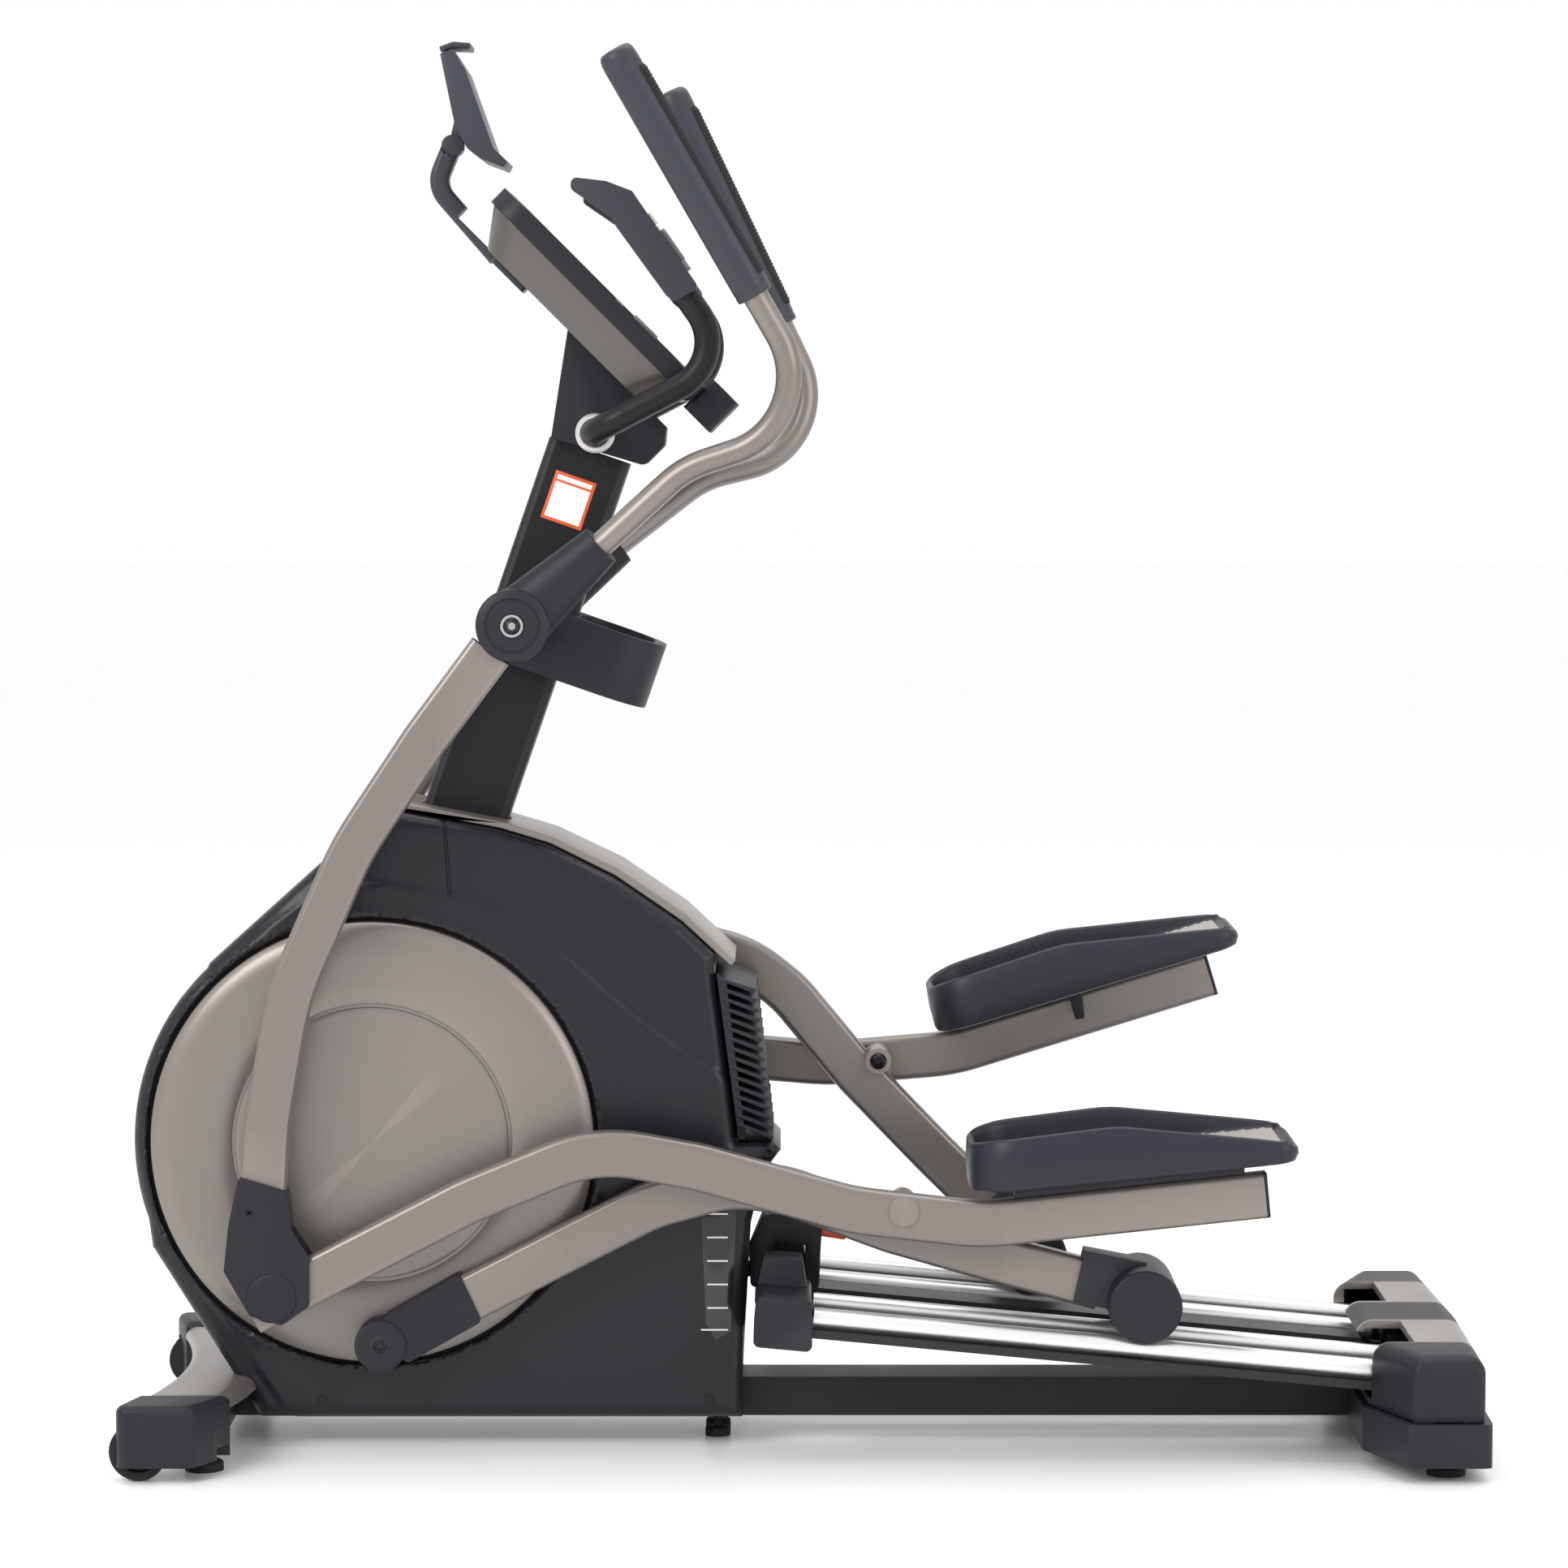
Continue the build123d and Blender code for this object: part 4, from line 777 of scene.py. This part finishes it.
def grip(steps=48):
    """A long moulded grip: an oval with a rounded end, a shallow waist line and a lower collar."""
    start, along, side, up = handle_frame(334)
    rows = [(0, 0.80), (0.6, 0.92), (2, 0.985), (5, 1.0), (8, 1.0), (9, 0.975), (10.5, 0.975), (11.5, 1.0)]
    rows += [(20 + 15.4 * i, 1.0) for i in range(20)]
    rows += [(322, 0.999), (330, 0.985), (336, 0.94), (340, 0.85), (342, 0.70), (342.8, 0.4), (343, 0.01)]
    verts = []
    for d, k in rows:
        for i in range(steps):
            a = 2 * math.pi * i / steps
            across = side * (GRIP_HALF_WIDTH * k * math.cos(a))
            verts.append(tuple(start + along * d + across + up * (GRIP_HALF_DEPTH * k * math.sin(a))))
    faces = grid_faces(len(rows), steps, closed_columns=True)
    faces += [tuple(range(steps)), tuple(range(len(verts) - steps, len(verts)))]
    return mesh_object("left_grip_look", verts, faces, "grip_grey", 40)


def grip_pad(rows=240, columns=14):
    """The ribbed rubber strip along the grip's rear, with a fine rib every few millimetres."""
    start, along, side, up = handle_frame(330)
    rear = up if up.x > 0 else -up
    verts = []
    for r in range(rows + 1):
        d = PAD_FROM + 296.0 * r / rows
        rib = 0.5 + 0.5 * math.cos(2 * math.pi * d / RIB_SPACING)
        ends = smooth_step(min(d - PAD_FROM, PAD_TO - d) / 10)
        for c in range(columns + 1):
            v = 2 * c / columns - 1
            a = v * math.radians(52)
            edge = smooth_step((1 - abs(v)) * 4)
            lift = -0.8 + (2.4 + 1.0 * rib) * edge * ends
            across = side * ((GRIP_HALF_WIDTH + lift) * math.sin(a))
            verts.append(tuple(start + along * d + across + rear * ((GRIP_HALF_DEPTH + lift) * math.cos(a))))
    return mesh_object("left_grip_pad", verts, grid_faces(rows + 1, columns + 1), "rubber_black", 50)


pair(grip(), ON_HANDLE, "left_swing", ["left_grip"])
pair(grip_pad(), ON_HANDLE, "left_swing")

# ---------------------------------------------------------------- caps and screws of the linkage
HUB_CAP = [(13.5, -215), (14, -219.5), (15.5, -220.6), (30, -220.2), (31.5, -219.2), (33, -219.2),
           (34, -220.4), (40, -219.6), (43.6, -217.6), (45.3, -213.5), (45.3, -205)]
pair(lathe("left_hub_cap", HUB_CAP, SWING, "cover_dark", 96, 30), ON_HANDLE, "left_swing")
SIDES = {"left": -1, "right": 1}
for word, side in SIDES.items():
    screw(f"{word}_hub_screw", (SWING[0], side * 224, SWING[1]), (0, side, 0), 11, "frame")
soften("left_swing_hub", 2.5)
soften("right_swing_hub", 2.5)

FORK_CAP = [(0.1, -216.4), (24, -216.2), (25.5, -215.2), (26.5, -215.2), (27.5, -216.3), (29.5, -215.6),
            (31, -213.5), (31, -210)]
PIVOT_CAP = [(0.1, -208.6), (15, -208.4), (17, -207.6), (18.6, -206.4), (18.6, -204)]
BEARING_CAP = [(12, -160), (12.4, -166), (14, -168.4), (26, -168.6), (30, -167.6), (32.6, -164.5),
               (32.6, -150)]
fork_cap = lathe("left_fork_cap", FORK_CAP, LEFT_JOINT, "cover_dark", 72, 30)
pair(fork_cap, ON_SWING, "left_swing")
pivot_cap = lathe("left_pivot_cap", PIVOT_CAP, LEFT_PIVOT, "arm_bronze", 64, 30)
pair(pivot_cap, ON_ARM, "left_pedal_arm_body")
bearing_cap = lathe("left_bearing_cap", BEARING_CAP, LEFT_PIN, "cover_dark", 72, 30)
pair(bearing_cap, ON_LINK, "left_link_body")
PIN_FACE = (LEFT_PIN[0], -165, LEFT_PIN[1])
SLEEVE_FACE = (LEFT_PIVOT[0], -116, LEFT_PIVOT[1])
FORK_FACE = (-690, -213.4, 318)
paired_screw("left_bearing_screw", PIN_FACE, (0, -1, 0), 9.5, ON_LINK, "left_link_body")
paired_screw("left_sleeve_screw", SLEEVE_FACE, (0, 1, 0), 11, ON_LINK, "left_link_body")
paired_screw("left_fork_screw", FORK_FACE, (0, -1, 0), 4, ON_SWING, "left_swing")

# ---------------------------------------------------------------- mast sticker
MAST_FOOT = (-436, 786)
MAST_LEAN = math.radians(19.13)


def on_mast(along, across):
    """A point on the mast's side, up its axis from its foot and rearward across it."""
    return (MAST_FOOT[0] + along * math.sin(MAST_LEAN) + across * math.cos(MAST_LEAN),
            MAST_FOOT[1] + along * math.cos(MAST_LEAN) - across * math.sin(MAST_LEAN))


def label(name, low, high, front, rear, y, thick, material):
    """A flat rectangle on the mast's side."""
    corners = [on_mast(low, front), on_mast(low, rear), on_mast(high, rear), on_mast(high, front)]
    finish_piece(prism(name, corners, y - thick, y, material, 0.3), "frame")


label("mast_label_border", 404, 467, -32, 22, -30.0, 0.5, "trigger_orange")
label("mast_label_field", 408, 454, -28, 18, -30.5, 0.3, "label_white")
label("mast_label_head", 457, 463, -28, 18, -30.5, 0.3, "label_white")

# ---------------------------------------------------------------- console
FACE = Vector((-248.0, 0, 1464.0))
UP = Vector((-math.sqrt(0.5), 0, math.sqrt(0.5)))
OUT = Vector((math.sqrt(0.5), 0, math.sqrt(0.5)))
SUNK = -3.4


def console_plate(name, size, radius, centre, high, material, width=0.6, segments=2, low=SUNK):
    """A plate with rounded corners at a (right, up) place, between two heights off the console's face."""
    points = [(a + centre[0], b + centre[1]) for a, b in rounded_rectangle(*size, radius)]
    verts = [tuple(FACE + Vector((0, a, 0)) + UP * b + OUT * h) for h in (low, high) for a, b in points]
    obj = mesh_object(name, verts, plate_faces(len(points)), material)
    if width:
        rounded_edges(obj, width, segments)
    finish_piece(obj, "frame")


soften("console_back", 6.0, "console_tone", 4)
soften("console_bezel", 4.0, segments=4)
console_plate("console_screen", (196, 112), 8, (0, 74), -1.9, "screen_black")
console_plate("console_screen_frame", (206, 122), 10, (0, 74), -2.6, "cover_dark", low=-3.5)
for index in range(5):
    console_plate(f"console_key_{index}", (24, 15), 5, (-72 + 36 * index, -18), -0.6, "key_grey", 1.2)
console_plate("console_dial", (40, 40), 19.9, (0, -66), 3.5, "key_grey", 2.0, 3)
for index, a in enumerate((-86, 86)):
    console_plate(f"console_pad_{index}", (44, 26), 8, (a, -66), -0.4, "grip_grey", 1.4)
# the vents and the air slot are near-black plates sunk below the face: painted shade inside the openings
for index in range(9):
    console_plate(f"console_vent_{index}", (3, 22), 1.4, (-117, 118 - 26 * index), -2.2, "gap_black", 0)
console_plate("console_air_slot", (60, 12), 5.9, (0, 4), -1.8, "gap_black", 0.5)

# light rings where the pulse bar enters the neck
PULSE_RING = [(16.6, -54), (17, -57.5), (19, -58.6), (23, -58.2), (25, -56.4), (25.4, -53)]
ring = lathe("left_pulse_ring", PULSE_RING, (-263, 1284), "mark_silver", 48, 30)
pair(ring, ON_FRAME, "frame")

# sensor plates on the pulse grips
for word, side in SIDES.items():
    path = [(-191, side * 190, 1553), (-182, side * 189.8, 1540.2)]
    plate = sweep(f"{word}_pulse_plate", path, rounded_rectangle(30, 5, 2), "mark_silver")
    finish_piece(plate, "frame")

# ---------------------------------------------------------------- stage, light and camera, in metres
FLOOR_REACH = 40.0
CAMERA_PLACE = (-0.025, -6.175, 1.29)
CAMERA_TILT = math.radians(90 - 4.2)
CAMERA_LENS = 111.2


def stage_floor():
    """A plain white floor, wide enough to pass under the camera in every view."""
    mesh = bpy.data.meshes.new("floor")
    corners = [(x * FLOOR_REACH, y * FLOOR_REACH, 0) for x, y in ((-1, -1), (1, -1), (1, 1), (-1, 1))]
    mesh.from_pydata(corners, [], [(0, 1, 2, 3)])
    obj = bpy.data.objects.new("floor", mesh)
    bpy.context.scene.collection.objects.link(obj)
    white = surface("floor_white", (0.97, 0.97, 0.97), rough=0.3, grain=3, depth=0.0, vary=0.0,
                    rough_vary=0.02)
    mesh.materials.append(white)


def area_light(name, place, target, size, power, color=(1, 1, 1)):
    """A rectangular lamp that the camera doesn't see."""
    data = bpy.data.lights.new(name, "AREA")
    data.shape = "RECTANGLE"
    data.size, data.size_y = size
    data.energy = power
    data.color = color
    obj = bpy.data.objects.new(name, data)
    bpy.context.scene.collection.objects.link(obj)
    obj.visible_camera = False
    obj.location = place
    obj.rotation_euler = (Vector(target) - Vector(place)).to_track_quat("-Z", "Y").to_euler()


stage_floor()
area_light("key", (-3.2, -3.6, 3.4), (0, 0, 0.8), (2.4, 2.4), 140, (1.0, 0.985, 0.97))
area_light("fill", (3.8, -3.2, 2.2), (0, 0, 0.7), (2.6, 2.6), 70, (1.0, 0.97, 0.94))
area_light("top", (0, 0.4, 4.2), (0, 0, 0.6), (3.6, 3.0), 80)

world = bpy.data.worlds.new("studio")
bpy.context.scene.world = world
world.use_nodes = True
world.node_tree.nodes["Background"].inputs["Color"].default_value = (1, 1, 1, 1)
world.node_tree.nodes["Background"].inputs["Strength"].default_value = 1.0

camera_data = bpy.data.cameras.new("camera")
camera_data.sensor_width = 36.0
camera_data.lens = CAMERA_LENS
camera = bpy.data.objects.new("camera", camera_data)
bpy.context.scene.collection.objects.link(camera)
camera.location = CAMERA_PLACE
camera.rotation_euler = (CAMERA_TILT, 0, 0)
bpy.context.scene.camera = camera
bpy.context.scene.view_settings.view_transform = "Standard"
